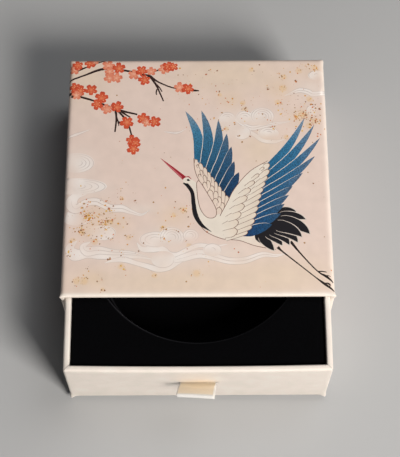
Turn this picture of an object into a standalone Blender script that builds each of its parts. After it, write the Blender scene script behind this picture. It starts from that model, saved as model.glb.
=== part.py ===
# Bracelet box: a sleeve of paper-covered greyboard, a drawer that slides out of its
# front, a black foam pad with a round recess inside the drawer, and a folded ribbon
# tab that pulls the drawer. The drawer stands partly open.
# Units are metres. The origin is the middle of the sleeve's underside, the open front
# of the sleeve faces -Y, and +Z is up.

import math

import bmesh
import bpy
from mathutils import Matrix, Vector

# Sleeve
SLEEVE_WIDTH = 0.100
SLEEVE_LENGTH = 0.100
SLEEVE_HEIGHT = 0.035
SLEEVE_WALL = 0.0015
SLEEVE_EDGE_RADIUS = 0.0012
MOUTH_OUTER_RADIUS = 0.0006
MOUTH_INNER_RADIUS = 0.0004

# Drawer: its outer size follows from the sleeve and the clearance all round it
SLIDE_CLEARANCE = 0.0003
DRAWER_OPEN = 0.0277
DRAWER_WALL = 0.0023
DRAWER_FLOOR = 0.0018
DRAWER_EDGE_RADIUS = 0.0010
DRAWER_RIM_RADIUS = 0.0007

# Foam pad with its round recess
PAD_CLEARANCE = 0.0003
PAD_BELOW_RIM = 0.0014
PAD_EDGE_RADIUS = 0.0008
RECESS_DIAMETER = 0.0795
RECESS_DEPTH = 0.016
RECESS_SETBACK = 0.0018  # how far the recess lies behind the middle of the pad

# Ribbon tab: both layers of the folded ribbon as one strip
RIBBON_WIDTH = 0.0135
RIBBON_THICKNESS = 0.0007
RIBBON_CLEARANCE = 0.0003
SLOT_UP = 0.0176  # from the drawer's underside to the middle of the slot
TAB_LENGTH = 0.0090
TAB_TILT = math.radians(38)
TAB_SKEW = math.radians(6)
TAB_BEND_RADIUS = 0.0012
FOLD_RADIUS = 0.0007  # of the fold at the tab's end, which stays a little open
FOLD_SWELL = 0.0030  # length over which the strip opens towards the fold
TAIL_LENGTH = 0.0100

# Fineness of round forms
EDGE_SEGMENTS = 3
RECESS_SEGMENTS = 96
BEND_STEPS = 6
FOLD_STEPS = 8
SWELL_STEPS = 4

# How far a cutter runs past what it cuts, and how close two points count as one place
CUTTER_PAST = 0.001
SAME_PLACE = 0.00001

# Worked out from the sizes above
drawer_width = SLEEVE_WIDTH - 2 * (SLEEVE_WALL + SLIDE_CLEARANCE)
drawer_length = SLEEVE_LENGTH - SLEEVE_WALL - SLIDE_CLEARANCE
drawer_height = SLEEVE_HEIGHT - 2 * (SLEEVE_WALL + SLIDE_CLEARANCE)
pad_front = DRAWER_WALL + PAD_CLEARANCE
pad_back = drawer_length - DRAWER_WALL - PAD_CLEARANCE
pad_half_width = drawer_width / 2 - DRAWER_WALL - PAD_CLEARANCE
pad_bottom = DRAWER_FLOOR + PAD_CLEARANCE
pad_top = drawer_height - PAD_BELOW_RIM
slot_half_width = RIBBON_WIDTH / 2 + RIBBON_CLEARANCE
slot_half_height = RIBBON_THICKNESS / 2 + RIBBON_CLEARANCE
tail_back = DRAWER_WALL + RIBBON_CLEARANCE + RIBBON_THICKNESS


def remove_all_objects():
    for thing in list(bpy.data.objects):
        bpy.data.objects.remove(thing, do_unlink=True)


def new_collection(name):
    collection = bpy.data.collections.new(name)
    bpy.context.scene.collection.children.link(collection)
    return collection


def paint(name, colour, roughness):
    """A plain material with the piece's colour and roughness."""
    material = bpy.data.materials.new(name)
    material.use_nodes = True
    shader = material.node_tree.nodes["Principled BSDF"]
    shader.inputs["Base Color"].default_value = (*colour, 1.0)
    shader.inputs["Roughness"].default_value = roughness
    shader.inputs["Metallic"].default_value = 0.0
    return material


def add_object(name, mesh, collection, parent=None, material=None):
    thing = bpy.data.objects.new(name, mesh)
    collection.objects.link(thing)
    thing.parent = parent
    if material:
        mesh.materials.append(material)
    return thing


def cube_between(low, high):
    """A bmesh box from its lowest corner to its highest."""
    box = bmesh.new()
    bmesh.ops.create_cube(box, size=1.0)
    size = Vector(high) - Vector(low)
    middle = (Vector(high) + Vector(low)) / 2
    bmesh.ops.scale(box, vec=size, verts=box.verts)
    bmesh.ops.translate(box, vec=middle, verts=box.verts)
    return box


def hollow_out(box, outward, wall, depth):
    """Inset the face that looks outward by the wall, and push it in by the depth.

    Returns the edges around the opening's inner rim."""
    outward = Vector(outward)
    box.faces.ensure_lookup_table()
    mouth = max(box.faces, key=lambda face: face.normal.dot(outward))
    bmesh.ops.inset_region(box, faces=[mouth], thickness=wall, use_even_offset=True)
    rim = list(mouth.edges)
    pushed = bmesh.ops.extrude_discrete_faces(box, faces=[mouth])["faces"][0]
    bmesh.ops.translate(box, vec=-outward * depth, verts=pushed.verts)
    return rim


def sides_of(edge, low, high):
    """The sides of the box from low to high that the whole edge lies in."""
    ends = [corner.co for corner in edge.verts]
    return {
        (axis, side)
        for axis in range(3)
        for side, bound in (("low", low), ("high", high))
        if all(abs(end[axis] - bound[axis]) < SAME_PLACE for end in ends)
    }


def to_mesh(name, box):
    mesh = bpy.data.meshes.new(name)
    bmesh.ops.recalc_face_normals(box, faces=box.faces)
    box.to_mesh(mesh)
    box.free()
    return mesh


def weigh_edges(box, radius_of):
    """Give each edge the share of the Bevel modifier's width that radius_of asks for."""
    weights = box.edges.layers.float.new("bevel_weight_edge")
    radii = {edge: radius_of(edge) for edge in box.edges}
    widest = max(radii.values())
    for edge, radius in radii.items():
        edge[weights] = radius / widest
    return widest


def round_edges(thing, widest):
    bevel = thing.modifiers.new("rounded edges", "BEVEL")
    bevel.limit_method = "WEIGHT"
    bevel.width = widest
    bevel.segments = EDGE_SEGMENTS


def cut(thing, cutter):
    knife = thing.modifiers.new(cutter.name, "BOOLEAN")
    knife.operation = "DIFFERENCE"
    knife.solver = "EXACT"
    knife.object = cutter


def add_cutter(name, mesh, collection, parent):
    cutter = add_object(name, mesh, collection, parent)
    cutter.hide_render = True
    cutter.display_type = "WIRE"
    return cutter


def make_sleeve(collection, material):
    """A box open at the front. Its outer edges are rounded, the mouth's rim less so."""
    low = (-SLEEVE_WIDTH / 2, -SLEEVE_LENGTH / 2, 0)
    high = (SLEEVE_WIDTH / 2, SLEEVE_LENGTH / 2, SLEEVE_HEIGHT)
    box = cube_between(low, high)
    rim = hollow_out(box, (0, -1, 0), SLEEVE_WALL, SLEEVE_LENGTH - SLEEVE_WALL)

    def radius_of(edge):
        sides = sides_of(edge, low, high)
        if edge in rim:
            return MOUTH_INNER_RADIUS
        if len(sides) < 2:
            return 0.0
        return MOUTH_OUTER_RADIUS if (1, "low") in sides else SLEEVE_EDGE_RADIUS

    widest = weigh_edges(box, radius_of)
    sleeve = add_object("sleeve", to_mesh("sleeve", box), collection, material=material)
    round_edges(sleeve, widest)
    return sleeve


def make_drawer_tray(collection, cutters, parent, material):
    """A box open at the top, with rounded edges and a slot for the ribbon in its front."""
    low = (-drawer_width / 2, 0, 0)
    high = (drawer_width / 2, drawer_length, drawer_height)
    box = cube_between(low, high)
    rim = hollow_out(box, (0, 0, 1), DRAWER_WALL, drawer_height - DRAWER_FLOOR)

    def radius_of(edge):
        if edge in rim:
            return DRAWER_RIM_RADIUS
        return DRAWER_EDGE_RADIUS if len(sides_of(edge, low, high)) == 2 else 0.0

    widest = weigh_edges(box, radius_of)
    tray = add_object("drawer_tray", to_mesh("drawer_tray", box), collection, parent, material)
    round_edges(tray, widest)
    slot = cube_between(
        (-slot_half_width, -CUTTER_PAST, SLOT_UP - slot_half_height),
        (slot_half_width, DRAWER_WALL + CUTTER_PAST, SLOT_UP + slot_half_height),
    )
    cut(tray, add_cutter("ribbon slot", to_mesh("ribbon slot", slot), cutters, parent))
    return tray


def make_insert_pad(collection, cutters, parent, material):
    """A block of foam that fills the drawer, with a blind round recess in its top and a
    shallow pocket in its front where the ribbon's tail lies."""
    low = (-pad_half_width, pad_front, pad_bottom)
    high = (pad_half_width, pad_back, pad_top)
    box = cube_between(low, high)

    def radius_of(edge):
        sides = sides_of(edge, low, high)
        return PAD_EDGE_RADIUS if (2, "high") in sides and len(sides) == 2 else 0.0

    widest = weigh_edges(box, radius_of)
    pad = add_object("insert_pad", to_mesh("insert_pad", box), collection, parent, material)
    round_edges(pad, widest)

    round_cut = bmesh.new()
    bmesh.ops.create_cone(
        round_cut,
        cap_ends=True,
        segments=RECESS_SEGMENTS,
        radius1=RECESS_DIAMETER / 2,
        radius2=RECESS_DIAMETER / 2,
        depth=RECESS_DEPTH + CUTTER_PAST,
    )
    recess = add_cutter("round recess", to_mesh("round recess", round_cut), cutters, parent)
    recess_middle = (pad_front + pad_back) / 2 + RECESS_SETBACK
    recess.location = (0, recess_middle, pad_top + (CUTTER_PAST - RECESS_DEPTH) / 2)
    cut(pad, recess)

    pocket = cube_between(
        (-slot_half_width, pad_front - CUTTER_PAST, SLOT_UP - TAIL_LENGTH - RIBBON_CLEARANCE),
        (slot_half_width, tail_back + RIBBON_CLEARANCE, SLOT_UP + slot_half_height),
    )
    cut(pad, add_cutter("ribbon pocket", to_mesh("ribbon pocket", pocket), cutters, parent))
    return pad


def ribbon_path():
    """The strip's centre line in the plane of y and z, with half its thickness at each point.

    It runs up behind the front wall, turns out through the slot, bends up by the tab's
    tilt and ends where the round fold begins."""
    half = RIBBON_THICKNESS / 2
    turn = half + RIBBON_CLEARANCE / 2
    tail_y = DRAWER_WALL + RIBBON_CLEARANCE + half
    points = [(tail_y, SLOT_UP - TAIL_LENGTH, half)]
    for step in range(BEND_STEPS + 1):
        angle = math.pi / 2 * step / BEND_STEPS
        y = tail_y - turn + turn * math.cos(angle)
        z = SLOT_UP - turn + turn * math.sin(angle)
        points.append((y, z, half))
    for step in range(BEND_STEPS + 1):
        angle = TAB_TILT * step / BEND_STEPS
        y = -TAB_BEND_RADIUS * math.sin(angle)
        z = SLOT_UP + TAB_BEND_RADIUS * (1 - math.cos(angle))
        points.append((y, z, half))
    bend_y, bend_z, _ = points[-1]
    straight = TAB_LENGTH - TAB_BEND_RADIUS * TAB_TILT - FOLD_RADIUS
    for step in range(SWELL_STEPS + 1):
        share = step / SWELL_STEPS
        along = straight - FOLD_SWELL * (1 - share)
        swell = (FOLD_RADIUS - half) * share * share * (3 - 2 * share)
        y = bend_y - along * math.cos(TAB_TILT)
        z = bend_z + along * math.sin(TAB_TILT)
        points.append((y, z, half + swell))
    return points


def ribbon_outline():
    """The closed outline of the strip seen from the side: both edges of the path, and the
    half circle of the fold between them."""
    path = ribbon_path()
    upper, lower = [], []
    for index, (y, z, half) in enumerate(path):
        before = path[max(index - 1, 0)]
        after = path[min(index + 1, len(path) - 1)]
        along = Vector((after[0] - before[0], after[1] - before[1])).normalized()
        across = Vector((-along.y, along.x)) * half
        upper.append((y + across.x, z + across.y))
        lower.append((y - across.x, z - across.y))
    fold_y, fold_z, radius = path[-1]
    outward = Vector((-math.cos(TAB_TILT), math.sin(TAB_TILT)))
    sideways = Vector((-outward.y, outward.x))
    fold = []
    for step in range(1, FOLD_STEPS):
        angle = math.pi * step / FOLD_STEPS
        offset = radius * (sideways * math.cos(angle) + outward * math.sin(angle))
        fold.append((fold_y + offset.x, fold_z + offset.y))
    return upper + fold + lower[::-1]


def make_pull_ribbon(collection, parent, material):
    """The folded ribbon: its side outline carried across its width, then drawn a little
    to the left towards its tip, as the ribbon was folded and glued by hand."""
    outline = ribbon_outline()
    curve = bpy.data.curves.new("ribbon outline", "CURVE")
    curve.dimensions = "2D"
    curve.fill_mode = "BOTH"
    curve.extrude = RIBBON_WIDTH / 2
    spline = curve.splines.new("POLY")
    spline.points.add(len(outline) - 1)
    for point, (y, z) in zip(spline.points, outline):
        point.co = (y, z, 0.0, 1.0)
    spline.use_cyclic_u = True
    flat = bpy.data.objects.new("ribbon outline", curve)
    collection.objects.link(flat)
    bpy.context.view_layer.update()
    evaluated = flat.evaluated_get(bpy.context.evaluated_depsgraph_get())
    mesh = bpy.data.meshes.new_from_object(evaluated)
    bpy.data.objects.remove(flat, do_unlink=True)

    # The outline's x and y are the drawer's y and z, and its thickness is the drawer's x
    strip = bmesh.new()
    strip.from_mesh(mesh)
    turned = Matrix(((0, 0, 1, 0), (1, 0, 0, 0), (0, 1, 0, 0), (0, 0, 0, 1)))
    bmesh.ops.transform(strip, matrix=turned, verts=strip.verts)
    bmesh.ops.remove_doubles(strip, verts=strip.verts, dist=SAME_PLACE)
    for corner in strip.verts:
        out = max(0.0, -corner.co.y / math.cos(TAB_TILT) - TAB_BEND_RADIUS)
        slant = math.sin(TAB_SKEW) * corner.co.x * out / TAB_LENGTH
        corner.co.x -= math.tan(TAB_SKEW) * out
        corner.co.y -= slant * math.cos(TAB_TILT)
        corner.co.z += slant * math.sin(TAB_TILT)
    bpy.data.meshes.remove(mesh)
    return add_object("pull_ribbon", to_mesh("pull_ribbon", strip), collection, parent, material)


def make_box():
    remove_all_objects()
    pieces = new_collection("bracelet box")
    cutters = new_collection("cutters")
    printed_paper = paint("printed paper", (0.77, 0.62, 0.54), 0.55)
    cream_paper = paint("cream paper", (0.79, 0.74, 0.66), 0.5)
    black_velvet = paint("black velvet", (0.004, 0.004, 0.005), 0.95)
    satin = paint("champagne satin", (0.69, 0.52, 0.35), 0.4)

    # The drawer's own origin is the middle of its front face's lower edge, on the slide's line
    slide = bpy.data.objects.new("drawer slide", None)
    pieces.objects.link(slide)
    slide.location = (0, -SLEEVE_LENGTH / 2 - DRAWER_OPEN, SLEEVE_WALL + SLIDE_CLEARANCE)

    make_sleeve(pieces, printed_paper)
    make_drawer_tray(pieces, cutters, slide, cream_paper)
    make_insert_pad(pieces, cutters, slide, black_velvet)
    make_pull_ribbon(pieces, slide, satin)


make_box()
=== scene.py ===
import bmesh
import bpy
import numpy as np
from mathutils import Matrix, Vector
from mathutils.geometry import delaunay_2d_cdt


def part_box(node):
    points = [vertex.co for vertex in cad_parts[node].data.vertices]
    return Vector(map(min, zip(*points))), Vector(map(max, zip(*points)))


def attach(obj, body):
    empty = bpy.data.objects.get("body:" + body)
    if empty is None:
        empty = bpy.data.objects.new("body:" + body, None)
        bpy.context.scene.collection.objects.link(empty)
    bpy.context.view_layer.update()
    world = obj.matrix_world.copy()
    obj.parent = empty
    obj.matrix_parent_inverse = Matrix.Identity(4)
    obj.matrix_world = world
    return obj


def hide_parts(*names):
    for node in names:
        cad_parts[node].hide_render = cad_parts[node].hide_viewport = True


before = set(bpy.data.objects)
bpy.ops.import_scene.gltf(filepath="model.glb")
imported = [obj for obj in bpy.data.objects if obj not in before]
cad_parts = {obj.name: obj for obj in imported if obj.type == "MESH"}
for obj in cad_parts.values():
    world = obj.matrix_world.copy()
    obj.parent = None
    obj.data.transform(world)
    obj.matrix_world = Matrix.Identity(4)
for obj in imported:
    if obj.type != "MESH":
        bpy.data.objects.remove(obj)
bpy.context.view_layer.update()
scene = bpy.context.scene
mm = 0.001
quarterTurn = np.pi / 2
chance = np.random.default_rng(11)


# The camera stands where the photograph was taken from: in front, looking steeply down
cameraPlace = {"eye": (0.41, -212.65, 463.29), "tiltDeg": 66.14, "yawDeg": 0.16, "rollDeg": -0.10,
               "focal": 99.3, "sensor": 36.0}


def turnFlat(angle):  # the matrix that turns about the third axis
    return np.array([[np.cos(angle), -np.sin(angle), 0], [np.sin(angle), np.cos(angle), 0], [0, 0, 1]])


def placeCamera(place):
    tilt, yaw, roll = np.radians([place["tiltDeg"], place["yawDeg"], place["rollDeg"]])
    looks = np.array([[1, 0, 0], [0, -np.sin(tilt), -np.cos(tilt)], [0, np.cos(tilt), -np.sin(tilt)]])
    right, down, ahead = turnFlat(roll) @ (looks @ turnFlat(yaw))
    data = bpy.data.cameras.new("camera")
    data.sensor_width = place["sensor"]
    data.lens = place["focal"]
    data.clip_start, data.clip_end = 0.01, 20.0
    camera = bpy.data.objects.new("camera", data)
    scene.collection.objects.link(camera)
    axes = Matrix(np.column_stack([right, -down, -ahead]).tolist()).to_4x4()
    camera.matrix_world = Matrix.Translation(Vector(place["eye"]) * mm) @ axes
    scene.camera = camera


placeCamera(cameraPlace)
print("camera placed")


# Small tools that every piece uses

def linear(hexColour):  # an sRGB hex value as linear red, green and blue
    channels = np.array([int(hexColour[at:at + 2], 16) / 255 for at in (1, 3, 5)])
    return np.where(channels <= 0.04045, channels / 12.92, ((channels + 0.055) / 1.055) ** 2.4)


def rgba(hexColour):
    return (*linear(hexColour).tolist(), 1.0)


def addNode(tree, kind, inputs=None, **settings):  # a node with its settings, values and links
    made = tree.nodes.new(kind)
    for name, value in settings.items():
        setattr(made, name, value)
    for socket, value in (inputs or {}).items():
        if isinstance(value, bpy.types.NodeSocket):
            tree.links.new(value, made.inputs[socket])
        else:
            made.inputs[socket].default_value = value
    return made


def newMaterial(name, **values):  # a Principled material with plain values on its own sockets
    material = bpy.data.materials.new(name)
    material.use_nodes = True
    tree = material.node_tree
    shader = tree.nodes["Principled BSDF"]
    for socket, value in values.items():
        shader.inputs[socket.replace("_", " ")].default_value = value
    return material, tree, shader


def meshObject(name, points, faces, materials, body):  # points in metres, faces as index lists
    mesh = bpy.data.meshes.new(name)
    mesh.from_pydata(np.asarray(points).tolist(), [], faces)
    mesh.shade_smooth()
    thing = bpy.data.objects.new(name, mesh)
    scene.collection.objects.link(thing)
    for material in materials:
        mesh.materials.append(material)
    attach(thing, body)
    return thing


def gridFaces(rows, columns, first=0, wrap=False):  # quads of a grid stored row by row
    index = first + np.arange(rows * columns).reshape(rows, columns)
    if wrap:
        index = np.column_stack([index, index[:, 0]])
    corners = [index[:-1, :-1], index[:-1, 1:], index[1:, 1:], index[1:, :-1]]
    return np.stack(corners, -1).reshape(-1, 4)


def weld(thing, distance=0.002 * mm):  # merge a mesh's patches and turn all faces outwards
    work = bmesh.new()
    work.from_mesh(thing.data)
    bmesh.ops.remove_doubles(work, verts=work.verts, dist=distance)
    bmesh.ops.dissolve_degenerate(work, edges=work.edges, dist=distance)
    bmesh.ops.recalc_face_normals(work, faces=work.faces)
    work.to_mesh(thing.data)
    work.free()


def spaced(low, high, step):  # evenly spaced places from low to high, about a step apart
    return np.linspace(low, high, int(round((high - low) / step)) + 1)


def bump(values, centre, width):  # a smooth hill of height 1
    return np.exp(-(((values - centre) / width) ** 2))


def between(values, start, end):  # how far each value is from start to end, held to 0 and 1
    return np.clip((values - start) / (end - start), 0, 1)


def unit(angle):  # the point at this angle on a circle of radius 1
    return np.stack([np.cos(angle), np.sin(angle)], -1)


def leftOf(path):  # at each point of a path, the direction to its left
    slope = np.gradient(path, axis=0)
    slope /= np.linalg.norm(slope, axis=1, keepdims=True)
    return np.stack([-slope[:, 1], slope[:, 0]], 1)


def inMm(corners):  # places in metres as arrays in millimetres
    return (np.array(corner) / mm for corner in corners)


def onFloor(x, y, z, low, high):  # millimetres from the middle of a box's floor, as places in metres
    middle = (low + high) / 2
    return np.stack([x + middle[0], y + middle[1], z + low[2]], -1).reshape(-1, 3) * mm


def endFaces(rows, columns):  # the two faces that close a grid that runs all the way round
    return [list(range(columns))[::-1], list(range((rows - 1) * columns, rows * columns))]


def insetOutline(core, facing, halfWidth, halfLength, radius, inset):
    # a rounded rectangle drawn in by each inset: its radius shrinks first, then its core
    sink, left = np.maximum(radius, inset)[:, None], np.maximum(radius - inset, 0)[:, None]
    x = np.clip(core[:, 0], sink - halfWidth, halfWidth - sink) + left * facing[:, 0]
    y = np.clip(core[:, 1], sink - halfLength, halfLength - sink) + left * facing[:, 1]
    return x, y


# The picture is printed on the paper: flat inks, none of it raised. It is drawn in
# millimetres on the sleeve's top, u to the right and v to the back, and runs on over the
# edges. Each shape is an outline with an ink, and a later one covers an earlier one.
# Inks are linear red, green and blue, with a fourth number for how grainy the ink is.

picture = []


def ink(hexColour, grain=0.0):
    return np.array([*linear(hexColour), grain])


def paint(outline, colour):
    picture.append((np.asarray(outline, float), colour))


def smoothPath(points, perSpan=8, closed=False):
    # Catmull-Rom: every span is a cubic whose end slopes are half the step between neighbours
    points = np.asarray(points, float)
    if closed:
        points = np.vstack([points[-1], points, points[:2]])
    else:
        points = np.vstack([2 * points[0] - points[1], points, 2 * points[-1] - points[-2]])
    share = np.linspace(0, 1, perSpan, endpoint=False)[:, None, None]
    a, b, c, d = points[:-3], points[1:-2], points[2:-1], points[3:]
    curve = 0.5 * (2 * b + (c - a) * share + (2 * a - 5 * b + 4 * c - d) * share ** 2
                   + (3 * b - a - 3 * c + d) * share ** 3)
    curve = curve.transpose(1, 0, 2).reshape(-1, 2)
    return curve if closed else np.vstack([curve, points[-2]])


def pointsAlong(path, shares):  # the points at these shares of a path's length
    steps = np.linalg.norm(np.diff(path, axis=0), axis=1)
    reach = np.concatenate([[0], np.cumsum(steps)])
    return np.stack([np.interp(shares * reach[-1], reach, path[:, axis]) for axis in (0, 1)], -1)


def strokeOutline(path, widths):  # both sides of a path, half a width away from it
    half = np.interp(np.linspace(0, 1, len(path)), np.linspace(0, 1, len(widths)), widths)[:, None] / 2
    across = leftOf(path) * half
    return np.vstack([path + across, (path - across)[::-1]])


def paintStroke(points, widths, colour, perSpan=8):
    paint(strokeOutline(smoothPath(points, perSpan), widths), colour)


def inkThrough(stops, shareAt):  # an ink that runs through its stops as the share at a point rises
    places = [place for place, _ in stops]
    parts = np.array([colour for _, colour in stops]).T

    def colourAt(points):
        share = shareAt(points)
        return np.stack([np.interp(share, places, part) for part in parts], -1)

    return colourAt


def fade(start, end, stops):  # the share runs from start to end
    start, reach = np.asarray(start, float), np.asarray(end, float) - start
    return inkThrough(stops, lambda points: (points - start) @ reach / (reach @ reach))


def radialFade(centre, radius, stops):  # the share runs outwards from a centre
    return inkThrough(stops, lambda points: np.linalg.norm(points - centre, axis=1) / radius)


# The paper's ground: pink art paper with cream and white mist, as (u, v, spread u, spread v)
ground = {
    "pink": "#E2CDC2", "cream": "#E0CCB8", "mist": "#E3D7CE", "gold": "#E0C08C", "paleLit": "#F3ECE2",
    "wearAndHighlight": 0.85, "patchStrength": 0.85, "shares": {"cream": 1, "mist": 0.7, "gold": 0.25},
    "rightFold": (50.2, 1.3, 0.75), "frontFold": (-49.8, 1.1, 0.9),  # place, spread, and how worn and lit
    "lip": (-49.6, 1, -49), "rightFoldEnd": 51,  # place, spread and end of the front edge's lip
    "creamPatches": [(12, 43, 24, 9), (-8, -45, 46, 8), (24, 10, 9, 9), (-44, 42, 10, 12), (30, -42, 20, 8)],
    "mistPatches": [(-45, 4, 6, 6), (-41, -7, 8, 4), (-30, -33, 14, 3), (-13, -27, 8, 5), (-12, -36, 10, 3),
                    (20, 23, 12, 5), (12, 19, 6, 5), (44, 36, 6, 4), (-22, -15, 8, 2), (6, -33, 14, 3),
                    (66, 10, 12, 9), (-68, -22, 9, 8), (5, 66, 20, 6)],
    "goldPatches": [(-38, -17, 5, 5), (-30, -21, 5, 4), (-40, -24, 4, 3), (41, 24, 6, 4), (46, 45, 5, 4),
                    (-9, -18, 6, 5), (32, 36, 5, 5), (-38, -43, 4, 3), (13, 31, 5, 4)],
}


def groundInk(points):
    # each patch is a soft hill, and overlapping patches never add up to more than one
    def cover(patches):
        left = np.ones(len(points))
        for u, v, spreadU, spreadV in patches:
            hill = bump(points[:, 0], u, spreadU) * bump(points[:, 1], v, spreadV)
            left *= 1 - ground["patchStrength"] * hill
        return (1 - left)[:, None]

    colour = np.tile(ink(ground["pink"]), (len(points), 1))
    for tint, share in ground["shares"].items():
        colour += (ink(ground[tint]) - colour) * cover(ground[tint + "Patches"]) * share
    # the ink is thin where the paper is stretched over the front and right edges and the lip; this lightening
    # is also a painted highlight on these lamp-facing edges, so the left edge, in shade, gets none
    u, v = points[:, 0], points[:, 1]
    rightAt, rightSpread, rightWornLit = ground["rightFold"]
    frontAt, frontSpread, frontWornLit = ground["frontFold"]
    lipAt, lipSpread, lipEnd = ground["lip"]
    right = rightWornLit * bump(u, rightAt, rightSpread) * (v < ground["rightFoldEnd"])
    front = frontWornLit * bump(v, frontAt, frontSpread)
    lip = bump(np.minimum(v, lipAt), lipAt, lipSpread) * (v < lipEnd)
    wornLitFolds = np.maximum(np.maximum(right, lip), front)[:, None]
    return colour + (ink(ground["paleLit"]) - colour) * wornLitFolds * ground["wearAndHighlight"]


def thinInk(hexColour, strengthAt):  # an ink that lets the ground through
    def colourAt(points):
        strength = strengthAt(points)[:, None]
        return groundInk(points) * (1 - strength) + ink(hexColour) * strength

    return colourAt


# Clouds in the traditional manner: streams and curls of thin white ink with grey lines
cloud = {
    "white": "#F2EEEB", "whiteShare": 0.64, "line": "#A0989B", "lineShare": 0.46, "lineWidth": 0.24,
    "streams": [  # points along its middle, widths, and the number of lines along it
        ([(-41.6, -8.7), (-45.6, -9.8), (-47.2, -12.6), (-45.4, -15), (-41.4, -12.4), (-38, -12),
          (-35.2, -13.4), (-32, -14.8), (-28.2, -14.9), (-24.6, -16.4), (-20.8, -17.4), (-17.6, -15.4)],
         [0.6, 3, 5, 3.8, 3, 3, 2.6, 3, 3, 1.8, 0.9, 0.2], 3),
        ([(-49.4, -18), (-45.2, -19.4), (-42, -20), (-39, -18.8)], [4, 4.4, 2.6, 0.3], 2),
        ([(-44.6, -28), (-47, -30.8), (-45.2, -33.6), (-40.6, -33.2), (-36.2, -34), (-29.6, -34.4),
          (-22, -34.6), (-16, -35.6)], [0.4, 3.6, 5, 3.4, 2.8, 2, 1.2, 0.2], 2),
        ([(-39.6, -28.4), (-42.2, -30.2), (-40.6, -32.2), (-36.4, -31.8), (-31, -32.6), (-24.4, -33),
          (-18.4, -34.4)], [0.3, 2.4, 4, 3.2, 2.2, 1.4, 0.2], 3),
        ([(-34.1, -36.9), (-30.9, -35.9), (-27, -35.6), (-22.6, -37), (-18.6, -38.2), (-14.6, -39.4),
          (-10.6, -38.6), (-6.6, -36.2), (-1.6, -34.6)], [0.2, 1.4, 2.2, 1.8, 2, 2.4, 2.6, 2, 0.3], 2),
        ([(-22.4, -28.8), (-20.4, -31.4), (-16.4, -31.4), (-12.8, -31.4), (-10.4, -33.4), (-7.4, -33.6),
          (-4, -31.8), (0.6, -30), (6, -30.4), (11, -29.6)], [0.3, 2, 2.6, 2.2, 2, 1.8, 1.8, 1.8, 1.2, 0.3],
         2),
        ([(-16.5, -35.3), (-9.9, -36), (-5.3, -35), (0.6, -33.4), (6, -34.6), (11.6, -36.2), (17.6, -36),
          (24, -33.8), (29, -34.2), (34, -33)], [0.3, 1.6, 3, 3.4, 2.8, 2.6, 2.6, 2.2, 1.2, 0.2], 3),
        ([(12.6, 24.6), (16.5, 21.4), (20.9, 19), (25.4, 19.8), (29.9, 20.8), (36, 21.8)],
         [0.3, 1.4, 2, 1.8, 1.4, 0.2], 3),
        ([(17.6, 19.2), (21.5, 16.4), (25.2, 13.8), (29.7, 13), (33.4, 14)], [0.3, 1.8, 2.2, 1.6, 0.2], 2),
        ([(34.1, 33.2), (36.7, 34.3), (40, 35.6), (43.2, 35), (45.8, 33.9), (53, 35.2)],
         [0.3, 1.2, 2, 2.2, 2.2, 1.4], 3),
        ([(-12.6, 17.6), (-7.8, 17), (-4.4, 18.6)], [0.3, 0.9, 0.3], 2),
        ([(-53, 14), (-46.6, 16.4), (-41.4, 18.6)], [0.4, 1.2, 0.3], 2),
        ([(55, 6), (62, 11), (69, 8), (78, 11)], [0.6, 3.2, 2.6, 0.4], 3),
        ([(57, -21), (66, -16), (77, -20)], [0.4, 2.8, 0.4], 3),
        ([(-79, -25), (-71, -20), (-62, -24), (-54, -21)], [0.4, 3, 3.2, 0.6], 3),
        ([(-24, 60), (-10, 66), (6, 61), (24, 65)], [0.4, 3, 3.4, 0.4], 3),
    ],
    "curls": [  # centre, half its width, half its depth, first and last angle in degrees, number of rings
        (-45.9, 4.3, 6.8, 4.2, -80, 100, 4), (-46.1, -5.6, 12, 3.4, -75, 85, 4),
        (-34.8, -24.8, 4.6, 3, -100, 80, 4), (-15.8, -27.6, 5.8, 3.2, 30, 290, 3),
        (-9.6, -26.8, 4.6, 4.4, -30, 210, 4), (-2.6, -26, 3, 2.6, -60, 250, 3),
        (-12.6, -35.6, 4.4, 3.4, -160, 10, 1), (-45.4, -19.4, 4.4, 2.4, 150, 210, 0),
        (-36.6, -24.8, 5.6, 2.8, -30, 30, 0), (5.4, -31.8, 3.4, 2.6, -30, 190, 2),
        (11.6, 23.4, 3.2, 2.6, 10, 190, 3), (18.4, 23.6, 3.4, 3, 0, 200, 3),
        (25.2, 24.1, 4.6, 4, -40, 240, 4), (27.4, 16.6, 4, 2.8, 10, 190, 3),
        (17.4, 17, 3.4, 3, -130, 60, 1), (47, 42.3, 3.4, 2.2, 50, 230, 2),
        (44.8, 26.6, 2.6, 2.4, 80, 260, 2), (66, 14, 5, 4, -20, 200, 4), (-68, -16, 5, 4, -20, 200, 4),
        (4, 70, 4.6, 3.8, -20, 200, 4),
    ],
}


def cloudInk(hexColour, share, centre=None, size=1.0, facing=None):
    # thin ink laid unevenly, stronger and weaker in patches of 8 to 15 mm. About a curl's
    # centre it also thins out on the side that the curl doesn't face.
    def strengthAt(points):
        u, v = points.T
        strength = share * (0.68 + 0.32 * np.sin(u / 2.3 + v / 3.1) * np.sin(u / 4.1 - v / 1.9 + 1))
        if centre is not None:
            strength = strength * np.clip(0.75 + (points - centre) / size @ facing, 0, 1)
        return strength

    return thinInk(hexColour, strengthAt)


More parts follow.
